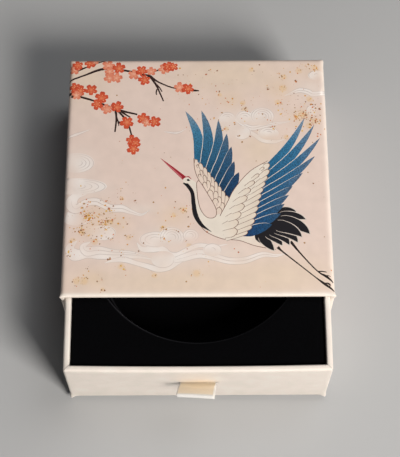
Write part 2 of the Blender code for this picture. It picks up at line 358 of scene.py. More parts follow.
def paintClouds():
    line, white = (cloudInk(cloud[key], cloud[key + "Share"]) for key in ("line", "white"))
    thin = [0.05, cloud["lineWidth"], cloud["lineWidth"], 0.05]
    for points, widths, lines in cloud["streams"]:
        path = smoothPath(points, 6)
        outline = strokeOutline(path, widths)
        paint(outline, white)
        left, right = outline[:len(path)], outline[len(path):][::-1]
        for share in np.linspace(0, 1, lines):
            # a line between the two sides, which starts later the further in it lies
            start = int(len(path) * 0.16 * np.sin(np.pi * share))
            paint(strokeOutline((left + (right - left) * share)[start:], thin), line)
    full, steps = np.linspace(0, 2 * np.pi, 40, endpoint=False), 34
    for u, v, reachU, reachV, first, last, rings in cloud["curls"]:
        centre, size = np.array([u, v]), np.array([reachU, reachV])
        facing = unit(np.radians((first + last) / 2))
        paint(centre + size * unit(full),
              cloudInk(cloud["white"], cloud["whiteShare"], centre, size, facing))
        out = size * unit(np.radians(np.linspace(first, last, steps)))
        for share in np.linspace(1, 0.34, rings):
            # each inner ring is shorter and draws in towards its end, as a curl does
            sweep = slice(0, int(steps * (0.5 + 0.5 * share)))
            reach = share * np.linspace(1, 0.88, steps)[sweep, None]
            paint(strokeOutline(centre + reach * out[sweep], thin), line)


# Gold flecks: small uneven spots of gold, orange and brown ink, thick in some places, and
# some of those places with a soft gold stain under them
flecks = {
    "inks": ["#CF963E", "#C77236", "#8A5B3A", "#DCB152", "#B0623C", "#A37A48"],
    "inkShares": [0.24, 0.2, 0.18, 0.14, 0.06, 0.18], "stain": "#E2B560", "stainShare": 0.32,
    "clusters": [  # u, v, spread, count, stained
        (-42.2, -16.6, 0.9, 20, 0), (-41, -18.6, 1, 34, 1), (-39.6, -20.2, 0.8, 14, 0),
        (-35.2, -20.2, 0.9, 24, 0), (-34.4, -21.6, 0.8, 22, 1), (-32.2, -20.2, 0.8, 16, 1),
        (-44.4, -24, 1, 20, 0), (-42.6, -24.4, 0.9, 20, 1), (-39.4, -25.9, 0.8, 8, 0),
        (-38, -28.3, 0.9, 8, 1), (-26.7, -21.1, 0.6, 5, 0), (-33.3, -11.3, 0.7, 6, 0),
        (-28.4, -10.8, 0.9, 10, 1), (-25.5, -26.7, 1, 9, 1), (-22.9, -11.9, 0.5, 4, 0),
        (-29.6, -6, 1.4, 6, 0), (-8.8, -17.7, 0.8, 8, 1), (-5.2, -15.6, 1.4, 16, 1),
        (-12.6, -23.3, 0.9, 9, 1), (-11.9, -26.8, 1, 10, 1), (-3.2, -30.1, 0.9, 7, 1),
        (-2.7, -21.6, 0.6, 5, 0), (-7.5, -24.1, 0.6, 5, 0), (-27.5, -33, 1, 10, 1),
        (-22.2, -33.2, 0.5, 4, 0), (-32.7, -35.8, 0.6, 4, 0), (-28, -38.3, 0.8, 7, 1),
        (-26.3, -39.5, 0.6, 6, 0), (-47, -33.1, 0.9, 12, 1), (-46.2, -28.2, 0.9, 6, 1),
        (-33, -14.6, 1.4, 8, 0), (-41.8, -13.2, 0.8, 6, 0), (-38, -19.5, 4.2, 76, 0), (-33, -23, 4, 40, 0),
        (-44, -43.9, 1.2, 12, 1), (-41.5, -44.1, 1, 8, 1), (-36.2, -44, 0.9, 8, 0), (-39.9, -39, 0.6, 4, 0),
        (-34.6, -47.4, 0.5, 4, 1), (-15.8, -41.9, 0.9, 6, 1), (-0.4, -41.1, 1, 7, 1),
        (3.6, -36.6, 1.4, 8, 0), (32.1, 42.9, 0.5, 5, 0), (34.1, 41.6, 0.8, 9, 1), (33.6, 36.6, 1, 8, 1),
        (31.4, 30.3, 1.3, 14, 1), (28.1, 36.6, 0.6, 5, 0), (17.9, 30, 0.9, 7, 1), (18.5, 27, 0.7, 7, 1),
        (8.9, 33.7, 0.8, 8, 1), (6.1, 44.6, 0.6, 6, 0), (21.4, 45, 0.8, 5, 1), (41.7, 46, 1.2, 12, 0),
        (40, 44.4, 0.9, 8, 1), (46.4, 45.8, 1.2, 16, 1), (38.5, 39.1, 0.4, 3, 0), (43.7, 31.7, 1, 10, 1),
        (44.9, 29.1, 0.8, 8, 0), (46.6, 27.2, 0.8, 12, 1), (45.6, 22, 1.4, 32, 1), (40.9, 24.9, 1.5, 32, 1),
        (38.4, 23.6, 1, 14, 1), (43, 20, 0.9, 8, 1), (32.6, 24.6, 0.4, 4, 0), (14.5, 21, 0.5, 6, 0),
        (5.9, 23.4, 0.5, 6, 0), (11.3, 18.7, 0.9, 10, 1), (28.9, 19.3, 1, 7, 0), (15.7, 15.4, 0.4, 4, 0),
        (34.2, 15, 1, 9, 1), (47, 16.3, 0.5, 5, 0), (34.4, 26.9, 0.8, 6, 0), (12.4, 30.5, 0.8, 5, 0),
        (42, 24, 4.6, 48, 0), (36, 30, 9, 50, 0), (15, 32, 10, 40, 0), (-5, 38, 6, 14, 0),
        (0, 0, 30, 90, 0), (-62, -20, 11, 60, 0), (66, 14, 11, 70, 0), (0, 64, 18, 70, 0),
    ],
    "smallest": 0.10, "largest": 0.42, "fewLarge": 2.6,
}


def onOneFace(points):  # whether small shapes about these points stay clear of the net's edges
    u, v = np.abs(points[:, 0]), points[:, 1]
    top = (u < 48) & (v > -48.6) & (v < 48)
    sides = (u < 81) & (v > -48.6) & (v < 47.5)
    back = (u < 47.5) & (v > 51.5) & (v < 81)
    return top | sides | back


def stainInk(centre, reach):  # thin gold ink that fades out to nothing at the stain's edge
    def strengthAt(points):
        out = np.linalg.norm((points - centre) / reach, axis=1)
        return flecks["stainShare"] * between(out, 1, 0.5)

    return thinInk(flecks["stain"], strengthAt)


def paintStains():  # three outlines round each stain's middle, a little uneven, under the clouds
    angle = np.linspace(0, 2 * np.pi, 16, endpoint=False)
    for u, v, spread, _, stained in flecks["clusters"]:
        centre, reach = np.array([u, v]), (spread + 0.6) * (1 + 0.2 * np.sin(u + v))
        for share in (1.0, 0.72, 0.45) if stained else ():
            stain = centre + share * reach * unit(angle) * (1 + 0.16 * np.sin(3 * angle + u))[:, None]
            if onOneFace(stain).all():
                paint(stain, stainInk(centre, reach))


def paintFlecks():
    inks = [ink(colour) for colour in flecks["inks"]]
    for u, v, spread, count, _ in flecks["clusters"]:
        centres = np.array([u, v]) + chance.normal(size=(count, 2)) * spread
        largeness = chance.random(count) ** flecks["fewLarge"]
        sizes = flecks["smallest"] + (flecks["largest"] - flecks["smallest"]) * largeness
        kinds = chance.choice(len(inks), count, p=flecks["inkShares"])
        turns = np.linspace(0, 2 * np.pi, 6, endpoint=False) + chance.random((count, 1)) * 2
        reach = sizes[:, None] * (0.6 + 0.7 * chance.random((count, 6)))
        outlines = centres[:, None] + reach[..., None] * unit(turns)
        keep = onOneFace(centres)
        for outline, kind in zip(outlines[keep], kinds[keep]):
            paint(outline, inks[kind])


# Flowering branches that come in over the left edge: twigs, then five-petalled blossoms
branch = {
    "bark": "#33201C",
    "twigs": [  # points, then widths from the thick end to the thin end
        ([(-82, 21), (-66, 33), (-54, 38.2), (-49.6, 40.4), (-44.4, 42.6), (-36.6, 45.6), (-28.5, 44.9),
          (-20.4, 42.9), (-18.4, 42.2), (-15.1, 39.6), (-9.1, 36.9), (-1.6, 35.8), (0.8, 35.6)],
         [1.1, 0.9, 0.7, 0.6, 0.6, 1, 0.8, 0.7, 1, 0.6, 0.5, 0.9, 0.4]),
        ([(-47.4, 44.6), (-43.4, 46.4), (-40, 47.8), (-35, 50.2)], [0.9, 0.5, 0.4, 0.7]),
        ([(-18.4, 42.4), (-15.6, 37.4), (-13, 31)], [0.9, 0.6, 0.45]),
        ([(-16.6, 39.4), (-14.6, 37), (-13.6, 35.2)], [0.6, 0.35]),
        ([(-15.6, 36.4), (-15.9, 34.8), (-15.7, 33.8)], [0.5, 0.4]),
        ([(-18, 43.6), (-16.6, 44.4), (-12.6, 46)], [0.8, 0.6, 0.4]),
        ([(-75, 26.2), (-62, 31), (-53, 34.2), (-48.6, 34.2), (-44.9, 32.9), (-40.4, 31.4), (-34.3, 28.8),
          (-29.1, 26.8), (-23.1, 25.2)], [0.9, 0.8, 0.8, 1.1, 0.7, 0.8, 0.6, 0.9, 0.8, 0.6]),
        ([(-31.6, 27.8), (-31.2, 23), (-31.6, 17.6)], [0.9, 0.6, 0.55]),
        ([(-31.2, 27.6), (-27.4, 22.6), (-25.4, 17), (-23.8, 9)], [0.8, 0.6, 0.5]),
        ([(-29.4, 26.6), (-27.4, 25), (-25.8, 24)], [0.8, 0.4]),
        ([(-31.3, 24.4), (-30.4, 21.8), (-30.2, 20.2)], [0.6, 0.3]),
    ],
    "blossoms": [  # u, v, radius, turn in degrees, 1 for a paler flower
        (-48, 45.4, 2.3, 10, 1), (-46.7, 47.2, 2.3, 30, 0), (-42.2, 48.2, 2.4, 40, 0),
        (-39.9, 49.2, 1.8, 12, 1), (-34.8, 47, 2.7, 0, 1), (-34.2, 44.4, 2.2, 44, 1),
        (-30.6, 45.8, 2.7, 25, 0), (-34.2, 41.4, 2.5, 50, 1), (-31.6, 41.6, 2.4, 8, 1),
        (-24.8, 43.2, 2.5, 15, 1), (-21.6, 44.8, 2.6, 60, 0), (-18, 44.4, 2.1, 20, 1),
        (-20.4, 40.6, 2.6, 30, 0), (-13, 45.4, 2.5, 45, 1), (-11.2, 46.6, 2.4, 5, 0),
        (-9.2, 46.6, 2.1, 35, 0), (-6.8, 37, 2.6, 20, 1), (-3.4, 36.5, 2.6, 55, 0),
        (-47.6, 37.2, 2.6, 35, 0), (-45.4, 35.8, 2.6, 5, 0), (-47, 33.8, 2.2, 20, 1),
        (-41.2, 36, 2.6, 50, 0), (-37, 32.6, 2.8, 12, 0), (-38.8, 29.8, 2.6, 40, 0),
        (-34.8, 27.6, 2.4, 30, 1), (-31, 28.4, 2.7, 0, 0), (-27, 21.8, 2.9, 48, 0), (-21, 23.4, 2.7, 8, 0),
        (-19.4, 21.6, 2, 30, 1), (-16.5, 22, 2.6, 33, 0), (-25.1, 13.8, 2.6, 20, 0),
        (-23.7, 12.6, 2.4, 50, 0), (-24.3, 10.2, 2.6, 55, 0), (-57, 36.4, 2.9, 10, 0),
        (-61, 31.6, 2.7, 40, 1), (-66, 34.6, 2.8, 25, 0), (-71, 26.6, 2.8, 0, 1), (-55, 31.4, 2.6, 60, 0),
    ],
    "buds": [  # dark knots over the flowers: points, then widths
        ([(-21.4, 43.1), (-20.6, 42.6)], [0.7, 0.3]), ([(-19.4, 42.5), (-18.2, 42.3)], [1.2, 0.9]),
        ([(-48.9, 32.8), (-48.2, 33.6)], [1, 0.6]), ([(-30.4, 21.2), (-29.9, 22.2)], [0.9, 0.5]),
    ],
    "flower": ["#E69066", "#CF5435", "#B23E28"],  # its heart, its petals and their rims
    "paleFlower": ["#EFBDA2", "#DE866A", "#CC6A50"], "stamen": "#F4DDB0", "twigThickness": 1.15,
}


def paintBlossom(u, v, radius, turnDeg, pale):
    # the outline's radius swings five times round, with a small dip in the middle of each
    # petal, and one side of the flower is turned a little away
    angle = np.linspace(0, 2 * np.pi, 70, endpoint=False)
    phase = np.abs(np.cos(2.5 * (angle - np.radians(turnDeg))))
    reach = radius * (0.44 + 0.56 * phase ** 0.6 - 0.10 * phase ** 30)
    reach *= 1 + 0.10 * np.sin(angle + turnDeg)
    centre = np.array([u, v])
    heart, petal, rim = (ink(colour) for colour in branch["paleFlower" if pale else "flower"])
    paint(centre + reach[:, None] * unit(angle),
          radialFade(centre, radius, [(0.08, heart), (0.4, petal), (0.8, petal), (1.0, rim)]))
    for petalAt in np.radians(turnDeg) + np.arange(5) * 2 * np.pi / 5:
        tip = centre + radius * 0.44 * unit(petalAt)
        paint(tip + 0.13 * unit(angle[::12]), ink(branch["stamen"]))


def paintBranches():
    for points, widths in branch["twigs"]:
        paintStroke(points, branch["twigThickness"] * np.array(widths), ink(branch["bark"]))
    for blossom in branch["blossoms"]:
        paintBlossom(*blossom)
    for points, widths in branch["buds"]:
        paintStroke(points, widths, ink(branch["bark"]))


# A flying crane of no particular bird: two raised wings, each a fan of blue quills under
# rows of cream coverts, a long neck with a dark stripe, dark plumes and trailing legs
crane = {
    "cream": "#E5DBCE", "creamShade": "#E0D1C0", "blush": "#E5D2C4", "black": "#110D14",
    "outline": "#6E4636", "outlineWidth": 0.22, "quillLine": "#DAD1C8", "lineWidth": 0.24,
    "plumeLine": "#D5C9BF", "beak": "#A0202D", "beakDark": "#6E1620", "beakPale": "#C2626A", "leg": "#21130F",
    "farWing": {
        "tips": [(-4.5, 26.5), (1.7, 26.8), (8.2, 22.6), (11.4, 16.6), (13.1, 11), (14.1, 4.6), (15.8, 0)],
        "baseLine": [(-1.3, 6), (3, 1.4), (7, -4.6), (11.4, -11)],
        "leadingEdge": [(-1.3, 6), (-0.9, 1), (0.8, -3.6), (3.8, -8.8), (6.4, -13.8), (7.3, -18)],
        "widths": (4.5, 4), "bend": (-0.12, -0.03), "root": (2.2, 2.2), "blunt": (2.3, 3), "edgeShown": 1,
        "lean": (108, 84), "fat": 0.70, "rootPlaces": (0.04, 0.95), "firstQuill": 0.92,
        "rows": [(1, 9, 7, 0.05), (0.58, 8, 5.2, 0.14), (0.26, 5, 4.2, 0.3)], "plumage": "blush",
        "inks": [("#235F80", "#3B7494", "#758999"), ("#0B2A4A", "#123A5E", "#1B3A5A")],
    },
    "nearWing": {
        "tips": [(41.6, 23.6), (45.2, 20.4), (47.2, 14.6), (44.9, 6.8), (40.1, -0.2), (36, -5.8),
                 (34.4, -9.6), (32.7, -13.3), (31.1, -17.3), (27.8, -21.7)],
        "baseLine": [(26.8, 4.8), (26.7, 0), (24, -8), (21.8, -16), (20, -22), (17.4, -25.8)],
        "leadingEdge": [(26.8, 4.8), (20, 0.4), (14.2, -6.6), (11.2, -12.6), (8, -19.8), (9.6, -25.4)],
        "widths": (4.1, 4.4), "bend": (-0.07, -0.02), "root": (6, 2.4), "blunt": (1.8, 3), "edgeShown": 0.78,
        "lean": (42, 20), "fat": 0.62, "rootPlaces": (0.04, 0.34, 0.58, 0.78, 0.95), "firstQuill": 0.92,
        "rows": [(1, 12, 11, 0.05), (0.52, 9, 5, 0.10)], "plumage": "cream",
        "inks": [("#1A5A7E", "#2E6D92", "#75869A"), ("#0B3460", "#11426B", "#19405F")],
    },
    "neck": [(-3.9, -3.2), (-1.2, -5.4), (0.3, -10.2), (0.6, -15.6), (3.2, -20.6), (9.4, -23.4)],
    "neckWidths": [2.4, 2.3, 2, 2.6, 4.4, 7],
    "gap": [(-0.2, -4.4), (-0.1, -8), (0.3, -11.8), (1.3, -15.6), (3.4, -18.5), (5.8, -18.9), (7.1, -17.4),
            (6.6, -14.2), (3.8, -8.8), (0.9, -3.8)],
    "stripe": [(-5, -4.1), (-3.4, -5.8), (-1.9, -8.6), (-1.4, -13.2), (-0.7, -17.6), (1.4, -21.6),
               (5.2, -24.6)],
    "stripeWidths": [1.3, 1.4, 1.4, 1.6, 1.8, 1.4, 0.1],
    "body": [(1.4, -20.4), (4.4, -24.8), (9.6, -27.3), (15.6, -28), (21.6, -30.2), (28.8, -31.6),
             (24.4, -28.2), (19.5, -25), (14, -19), (8, -17.4)],
    "underside": [(0.4, -21.2), (3.6, -24.8), (9.2, -27.4), (15.4, -28.1), (21.4, -30.3), (28.8, -31.8)],
    "head": (-3.9, -3.3), "headRadius": 1.5, "beakTip": (-14, 6.2),
    "tailRoot": [(28, -19), (31.6, -17.6), (32.4, -21), (29.6, -24.4), (25.6, -27), (22.6, -26.2)],
    "plumes": [  # root, tip, width, sideways bend
        ((29.4, -17.4), (37.2, -16.8), 3.2, 0.14), ((29, -19), (40.6, -19.8), 4, 0.10),
        ((22.2, -25.2), (26, -29.8), 3.6, -0.10), ((23.4, -24.8), (28.4, -32.4), 4, -0.06),
        ((24.6, -24.4), (31.4, -30.4), 3.8, 0.06), ((28.2, -20.8), (41.8, -25.8), 5.6, 0.13),
        ((25.4, -23.6), (34, -30.2), 4.4, 0.12), ((26.6, -22.8), (37.2, -29.2), 4.8, 0.12),
        ((27.2, -21.8), (38.8, -27), 5, 0.10),
    ],
    "legs": [([(29.6, -30.8), (31.4, -32.7), (37.7, -38.2), (43.2, -43), (46.4, -45.6), (49.8, -48.3)],
              [1.3, 0.6, 0.45, 0.45, 1, 0.5]),
             ([(34.4, -28.6), (37.6, -33), (41.8, -38.2), (44.6, -41.1), (47, -42.6), (49.6, -45)],
              [1.2, 0.6, 0.45, 0.5, 1, 0.4]),
             ([(44.2, -40.7), (45.6, -40.6), (47.2, -40.9)], [0.6, 0.3]),
             ([(46.8, -42.3), (47.8, -42.3), (48.6, -42.7)], [0.5, 0.15]),
             ([(46.4, -45.2), (47.4, -45.3), (48.2, -45.9), (48, -46.8)], [0.4, 0.7, 0.2])],
}


def bladeOutline(base, tip, width, bend, blunt):
    # a quill or a plume: its middle bows sideways by a share of its length. It is narrow at
    # the root, its left side stays full almost to the tip, and its right side curves in to it.
    base, tip = np.asarray(base, float), np.asarray(tip, float)
    share = np.linspace(0, 1, 18)[:, None]
    sideways = np.array([base[1] - tip[1], tip[0] - base[0]]) * bend
    middle = (base + tip) / 2 + sideways * 2
    path = (1 - share) ** 2 * base + 2 * share * (1 - share) * middle + share ** 2 * tip
    across = leftOf(path) * width / 2 * (0.45 + 0.55 * np.minimum(share / 0.28, 1) ** 0.7)
    left, right = (1 - share ** (blunt * 1.8)) ** 0.9, (1 - share ** blunt) ** 0.9
    return np.vstack([path + across * left, (path - across * right)[::-1]])


def paintCoverts(row, reach, wing, scales, first, plumage, shade):
    # one row of coverts. Each is a long U that leans the same way as its neighbours: straight
    # sides, drawn in a little at the root, and a rounded end. The next row covers its root.
    places = np.linspace(first, 0.96, scales)
    spots = pointsAlong(row, places)
    step = np.gradient(spots, axis=0)
    heading = unit(np.radians(np.linspace(*wing["lean"], scales)))
    half = wing["fat"] * np.abs(step[:, 0] * heading[:, 1] - step[:, 1] * heading[:, 0])
    turn = np.linspace(-quarterTurn, quarterTurn, 13)
    thin = crane["outlineWidth"]
    lengths = np.interp(places, np.linspace(0, 1, len(reach)), reach)
    for spot, ahead, side, length in list(zip(spots, heading, half, lengths))[::-1]:
        sideways = np.array([-ahead[1], ahead[0]])
        rounded = 1.7 * side * (np.cos(turn) - 0.7)
        along = np.concatenate([[-length, -length / 2], rounded, [-length / 2, -length]])[:, None]
        across = np.concatenate([[-0.75, -0.95], np.sin(turn), [0.95, 0.75]])[:, None] * side
        covert = spot + ahead * along + sideways * across
        paint(covert, fade(spot - ahead * length, spot + ahead, [(0, plumage), (1, shade)]))
        paint(strokeOutline(covert, [0.12, thin, thin, thin, 0.12]), ink(crane["outline"]))


def paintWing(wing):
    base, leading = smoothPath(wing["baseLine"]), smoothPath(wing["leadingEdge"])
    tips = np.array(wing["tips"])
    count = len(tips)
    marks = np.linspace(0, 1, len(wing["rootPlaces"]))
    roots = pointsAlong(base, np.interp(np.linspace(0, 1, count), marks, wing["rootPlaces"]))
    thin = crane["lineWidth"]
    for at in range(count):
        inner = at / (count - 1)
        reach = tips[at] - roots[at]
        width, bend, blunt, root = (low + (high - low) * inner for low, high in
                                    (wing["widths"], wing["bend"], wing["blunt"], wing["root"]))
        start = roots[at] - reach * root / np.linalg.norm(reach)
        width *= 1 if at else wing["firstQuill"]
        depth = inner ** 0.7
        stops = [(place, ink(outer, 1.0) * (1 - depth) + ink(deep, 1.0) * depth)
                 for place, outer, deep in zip((0.15, 0.6, 1.0), *wing["inks"])]
        outline = bladeOutline(start, tips[at], width, bend, blunt)
        paint(outline, fade(start, tips[at], stops))
        if at:
            paint(strokeOutline(outline[:17], [thin, thin, 0.06]), ink(crane["quillLine"]))
    plumage, shade = ink(crane[wing["plumage"]]), ink(crane["creamShade"])
    paint(np.vstack([leading, base[::-1]]), plumage)
    along, across = (pointsAlong(side, np.linspace(0, 1, 40)) for side in (leading, base))
    breadth = np.linalg.norm(across - along, axis=1)
    for depth, scales, length, first in wing["rows"]:
        # near the wing's tip, where it is narrow, the coverts are shorter
        reach = np.minimum(length, 0.9 * breadth * depth)
        paintCoverts(along + (across - along) * depth, reach, wing, scales, first, plumage, shade)
    shown = leading[:int(len(leading) * wing["edgeShown"])]
    paint(strokeOutline(shown, [crane["outlineWidth"]]), ink(crane["outline"]))


def paintCrane():
    black, cream, contour, beak = (ink(crane[key]) for key in ("black", "cream", "outline", "beak"))
    line = [crane["outlineWidth"]]
    for points, widths in crane["legs"]:
        paintStroke(points, widths, ink(crane["leg"]))
    paintWing(crane["farWing"])
    paint(smoothPath(crane["body"], closed=True),
          fade((14, -26), (27, -31), [(0, cream), (1, ink(crane["blush"]))]))
    paintStroke(crane["neck"], crane["neckWidths"], cream)
    gap = smoothPath(crane["gap"], closed=True)  # the ground shows between the neck and the far wing
    paint(gap, groundInk)
    paint(strokeOutline(np.vstack([gap, gap[:1]]), line), contour)
    paintStroke(crane["underside"], line, contour)
    paint(smoothPath(crane["tailRoot"], closed=True), black)
    for root, tip, width, bend in crane["plumes"]:
        outline = bladeOutline(root, tip, width, bend, 2.4)
        paint(outline, black)
        paint(strokeOutline(outline[3:-3], [0.1, 0.34, 0.34, 0.1]), ink(crane["plumeLine"]))
    paintWing(crane["nearWing"])
    paintStroke(crane["stripe"], crane["stripeWidths"], black)

    # the beak with its dark gap and paler lower half, the round head, its red cap and the eye
    head, tip = np.array(crane["head"]), np.array(crane["beakTip"])
    reach = tip - head
    ahead = reach / np.linalg.norm(reach)
    below = 0.42 * np.array([-ahead[1], ahead[0]])
    paint(strokeOutline(np.linspace(head + ahead * 1.0, tip, 12), [1.8, 1.4, 0.85, 0.05]), beak)
    paint(strokeOutline(np.linspace(head + ahead * 1.2, head + reach * 0.75, 8), [0.2, 0.05]),
          ink(crane["beakDark"]))
    paint(strokeOutline(np.linspace(head + ahead * 2.2 + below, head + reach * 0.9, 10), [0.5, 0.5, 0.1]),
          ink(crane["beakPale"]))
    ring = unit(np.linspace(0, 2 * np.pi, 28, endpoint=False)) * (1, 0.86)
    paint(head + crane["headRadius"] * ring, cream)
    paintStroke([(-4.5, -1.9), (-3.3, -1.8), (-2.2, -2.9)], [0.1, 0.5, 0.1], beak)
    paint(head + (0.45, 0.15) + 0.5 * ring, black)
    paintStroke([(-3.2, -3.2), (-2.6, -3.6)], [0.35, 0.1], black)


paintStains()
paintClouds()
paintFlecks()
paintBranches()
paintCrane()
print(f"picture drawn: {len(picture)} shapes")


# Materials

def calc(tree, operation, first, second=0.0):
    return addNode(tree, "ShaderNodeMath", {0: first, 1: second}, operation=operation).outputs[0]


def noise(tree, place, sizeMm, detail=2.0, roughness=0.5):
    values = {"Vector": place, "Scale": 1 / (sizeMm * mm), "Detail": detail, "Roughness": roughness}
    return addNode(tree, "ShaderNodeTexNoise", values).outputs["Fac"]


def ranged(tree, value, fromLow, fromHigh, toLow=0.0, toHigh=1.0, **settings):
    values = {"Value": value, "From Min": fromLow, "From Max": fromHigh, "To Min": toLow, "To Max": toHigh}
    return addNode(tree, "ShaderNodeMapRange", values, **settings).outputs["Result"]


def scaled(tree, colour, factor):
    return addNode(tree, "ShaderNodeVectorMath", {0: colour, "Scale": factor}, operation="SCALE").outputs[0]


def towards(tree, share, value):  # 1 where the share is 0, and the value where it is 1
    return addNode(tree, "ShaderNodeMix", {0: share, 2: 1.0, 3: value}, data_type="FLOAT").outputs[0]


def mixed(tree, share, first, second):
    return addNode(tree, "ShaderNodeMix", {0: share, 6: first, 7: second}, data_type="RGBA").outputs[2]


def ramp(tree, factor, stops):  # stops as places and hex colours
    made = addNode(tree, "ShaderNodeValToRGB", {"Fac": factor})
    elements = made.color_ramp.elements
    for element, (place, colour) in zip(elements, (stops[0], stops[-1])):
        element.position, element.color = place, rgba(colour)
    for place, colour in stops[1:-1]:
        elements.new(place).color = rgba(colour)
    return made.outputs["Color"]


def setBump(tree, shader, height, strength, distanceMm):
    values = {"Height": height, "Strength": strength, "Distance": distanceMm * mm}
    made = addNode(tree, "ShaderNodeBump", values)
    tree.links.new(made.outputs["Normal"], shader.inputs["Normal"])


def paperGrain(tree, shader, look):
    # the tooth of the paper as a fine bump, and large soft patches for its uneven colour
    place = addNode(tree, "ShaderNodeTexCoord").outputs["Object"]
    tooth = noise(tree, place, look["tooth"], detail=3.0, roughness=0.6)
    setBump(tree, shader, tooth, 0.35, look["toothHeight"])
    return place, tooth, noise(tree, place, look["mottle"])


# grain sizes and the tooth's height in millimetres, and how far each makes the ink darker and lighter
printLook = {"tooth": 0.28, "toothHeight": 0.02, "mottle": 5.0, "speckle": 0.45,
             "speckled": (0.55, 1.6), "mottled": (0.965, 1.03)}
pearlLook = {"tooth": 0.35, "toothHeight": 0.025, "mottle": 7.0, "fibre": (0.97, 1.02)}


def printedPaperMaterial():
    # Art paper printed by offset and given a satin film: soft shine, a fine tooth, and blue
    # inks that are speckled like glitter print. The speckle is drawn coarse enough to show.
    material, tree, shader = newMaterial("printed art paper", Roughness=0.46, Specular_IOR_Level=0.26)
    place, _, cloudy = paperGrain(tree, shader, printLook)
    inkNode = addNode(tree, "ShaderNodeVertexColor", layer_name="ink")
    speckle = noise(tree, place, printLook["speckle"], roughness=0.7)
    speckle = ranged(tree, speckle, 0.35, 0.65, *printLook["speckled"])
    grained = scaled(tree, inkNode.outputs["Color"], towards(tree, inkNode.outputs["Alpha"], speckle))
    uneven = scaled(tree, grained, ranged(tree, cloudy, 0.3, 0.7, *printLook["mottled"]))
    tree.links.new(uneven, shader.inputs["Base Color"])
    return material


def plainPaperMaterial(name, light, dark, warm, box=None):
    # Pearl wrapping paper: cream fibres with a faint pink and grey cloudiness and a satin face.
    # The drawer's box is given for its own marks: the rim's seams and the ribbon's glow.
    material, tree, shader = newMaterial(name, Roughness=0.44, Specular_IOR_Level=0.45)
    place, tooth, cloudy = paperGrain(tree, shader, pearlLook)
    tones = ramp(tree, cloudy, [(0.34, dark), (0.52, warm), (0.68, light)])
    colour = scaled(tree, tones, ranged(tree, tooth, 0.3, 0.7, *pearlLook["fibre"]))
    if box is not None:
        colour = cornerSeams(tree, place, colour, *box)
        colour = satinGlow(tree, place, colour, box[0][1])
    tree.links.new(colour, shader.inputs["Base Color"])
    return material


# millimetres: how far the line is shifted, where it fades, and how far down and in the rim
# reaches. The shade is how bright the line's middle is.
seam = {"shift": 0.1, "fade": (0.06, 0.2), "shade": 0.5, "down": 0.9, "in": 0.3}


def cornerSeams(tree, place, colour, low, high, wall):
    # the front paper's mitred edges on the drawer's rim: a thin shadow line from each outer
    # corner to the inner one, where the distance to the side equals the distance to the front
    split = addNode(tree, "ShaderNodeSeparateXYZ", {"Vector": place})
    fromSide = calc(tree, "SUBTRACT", high[0] * mm, calc(tree, "ABSOLUTE", split.outputs["X"]))
    fromFront = calc(tree, "SUBTRACT", split.outputs["Y"], low[1] * mm)
    drawnIn = calc(tree, "SUBTRACT", fromFront, seam["shift"] * mm)
    apart = calc(tree, "ABSOLUTE", calc(tree, "SUBTRACT", fromSide, drawnIn))
    dark, clear = seam["fade"]
    line = ranged(tree, apart, dark * mm, clear * mm, seam["shade"])
    isHigh = calc(tree, "GREATER_THAN", split.outputs["Z"], (high[2] - seam["down"]) * mm)
    isNear = calc(tree, "LESS_THAN", fromFront, (wall + seam["in"]) * mm)
    onRim = calc(tree, "MULTIPLY", isHigh, isNear)
    return scaled(tree, colour, towards(tree, onRim, line))


# millimetres to the right of the middle, above the floor, and the oval's half sizes
glow = {"tint": "#F0D6B2", "strength": 0.34, "right": 1.4, "up": 21.4, "reach": (9.0, 2.0, 4.6)}


def satinGlow(tree, place, colour, front):
    # the shiny ribbon throws warm light on the paper just above the slot: a soft oval tint
    centre = (glow["right"] * mm, front * mm, glow["up"] * mm)
    away = addNode(tree, "ShaderNodeVectorMath", {0: place, 1: centre}, operation="SUBTRACT").outputs[0]
    shrink = [1 / (reach * mm) for reach in glow["reach"]]
    oval = addNode(tree, "ShaderNodeVectorMath", {0: away, 1: shrink}, operation="MULTIPLY").outputs[0]
    out = addNode(tree, "ShaderNodeVectorMath", {0: oval}, operation="LENGTH").outputs["Value"]
    share = ranged(tree, out, 1.0, 0.1, 0.0, glow["strength"], interpolation_type="SMOOTHSTEP")
    return mixed(tree, share, colour, rgba(glow["tint"]))


# millimetres: the nap's size and height, the painted rim highlight's fade, and where that highlight is
# weakest and strongest
flock = {"nap": 0.5, "napHeight": 0.1, "dark": "#020203", "light": "#050507", "rimHighlight": "#202023",
         "fade": (0.42, 0.1), "least": 20, "most": -25}


def velvetMaterial(rimCentre, rimRadius):
    # Flocked foam: short black nylon fibres that swallow light, with a faint bluish nap
    material, tree, shader = newMaterial("black flock", Roughness=0.95, Specular_IOR_Level=0.05,
                                         Sheen_Weight=0.12, Sheen_Roughness=0.2)
    place = addNode(tree, "ShaderNodeTexCoord").outputs["Object"]
    nap = noise(tree, place, flock["nap"], detail=4.0, roughness=0.7)
    setBump(tree, shader, nap, 0.4, flock["napHeight"])
    # a painted highlight along the recess's rim: the flock is greyer there in a line under 1 mm wide,
    # most of all on the left
    centre = [value * mm for value in rimCentre]
    away = addNode(tree, "ShaderNodeVectorMath", {0: place, 1: centre}, operation="DISTANCE")
    offRim = calc(tree, "ABSOLUTE", calc(tree, "SUBTRACT", away.outputs["Value"], rimRadius * mm))
    split = addNode(tree, "ShaderNodeSeparateXYZ", {"Vector": place})
    leftward = ranged(tree, split.outputs["X"], flock["least"] * mm, flock["most"] * mm, 0.3)
    outer, inner = flock["fade"]
    rimHighlight = calc(tree, "MULTIPLY", ranged(tree, offRim, outer * mm, inner * mm), leftward)
    tones = ramp(tree, nap, [(0.35, flock["dark"]), (0.7, flock["light"])])
    tree.links.new(mixed(tree, rimHighlight, tones, rgba(flock["rimHighlight"])), shader.inputs["Base Color"])
    return material
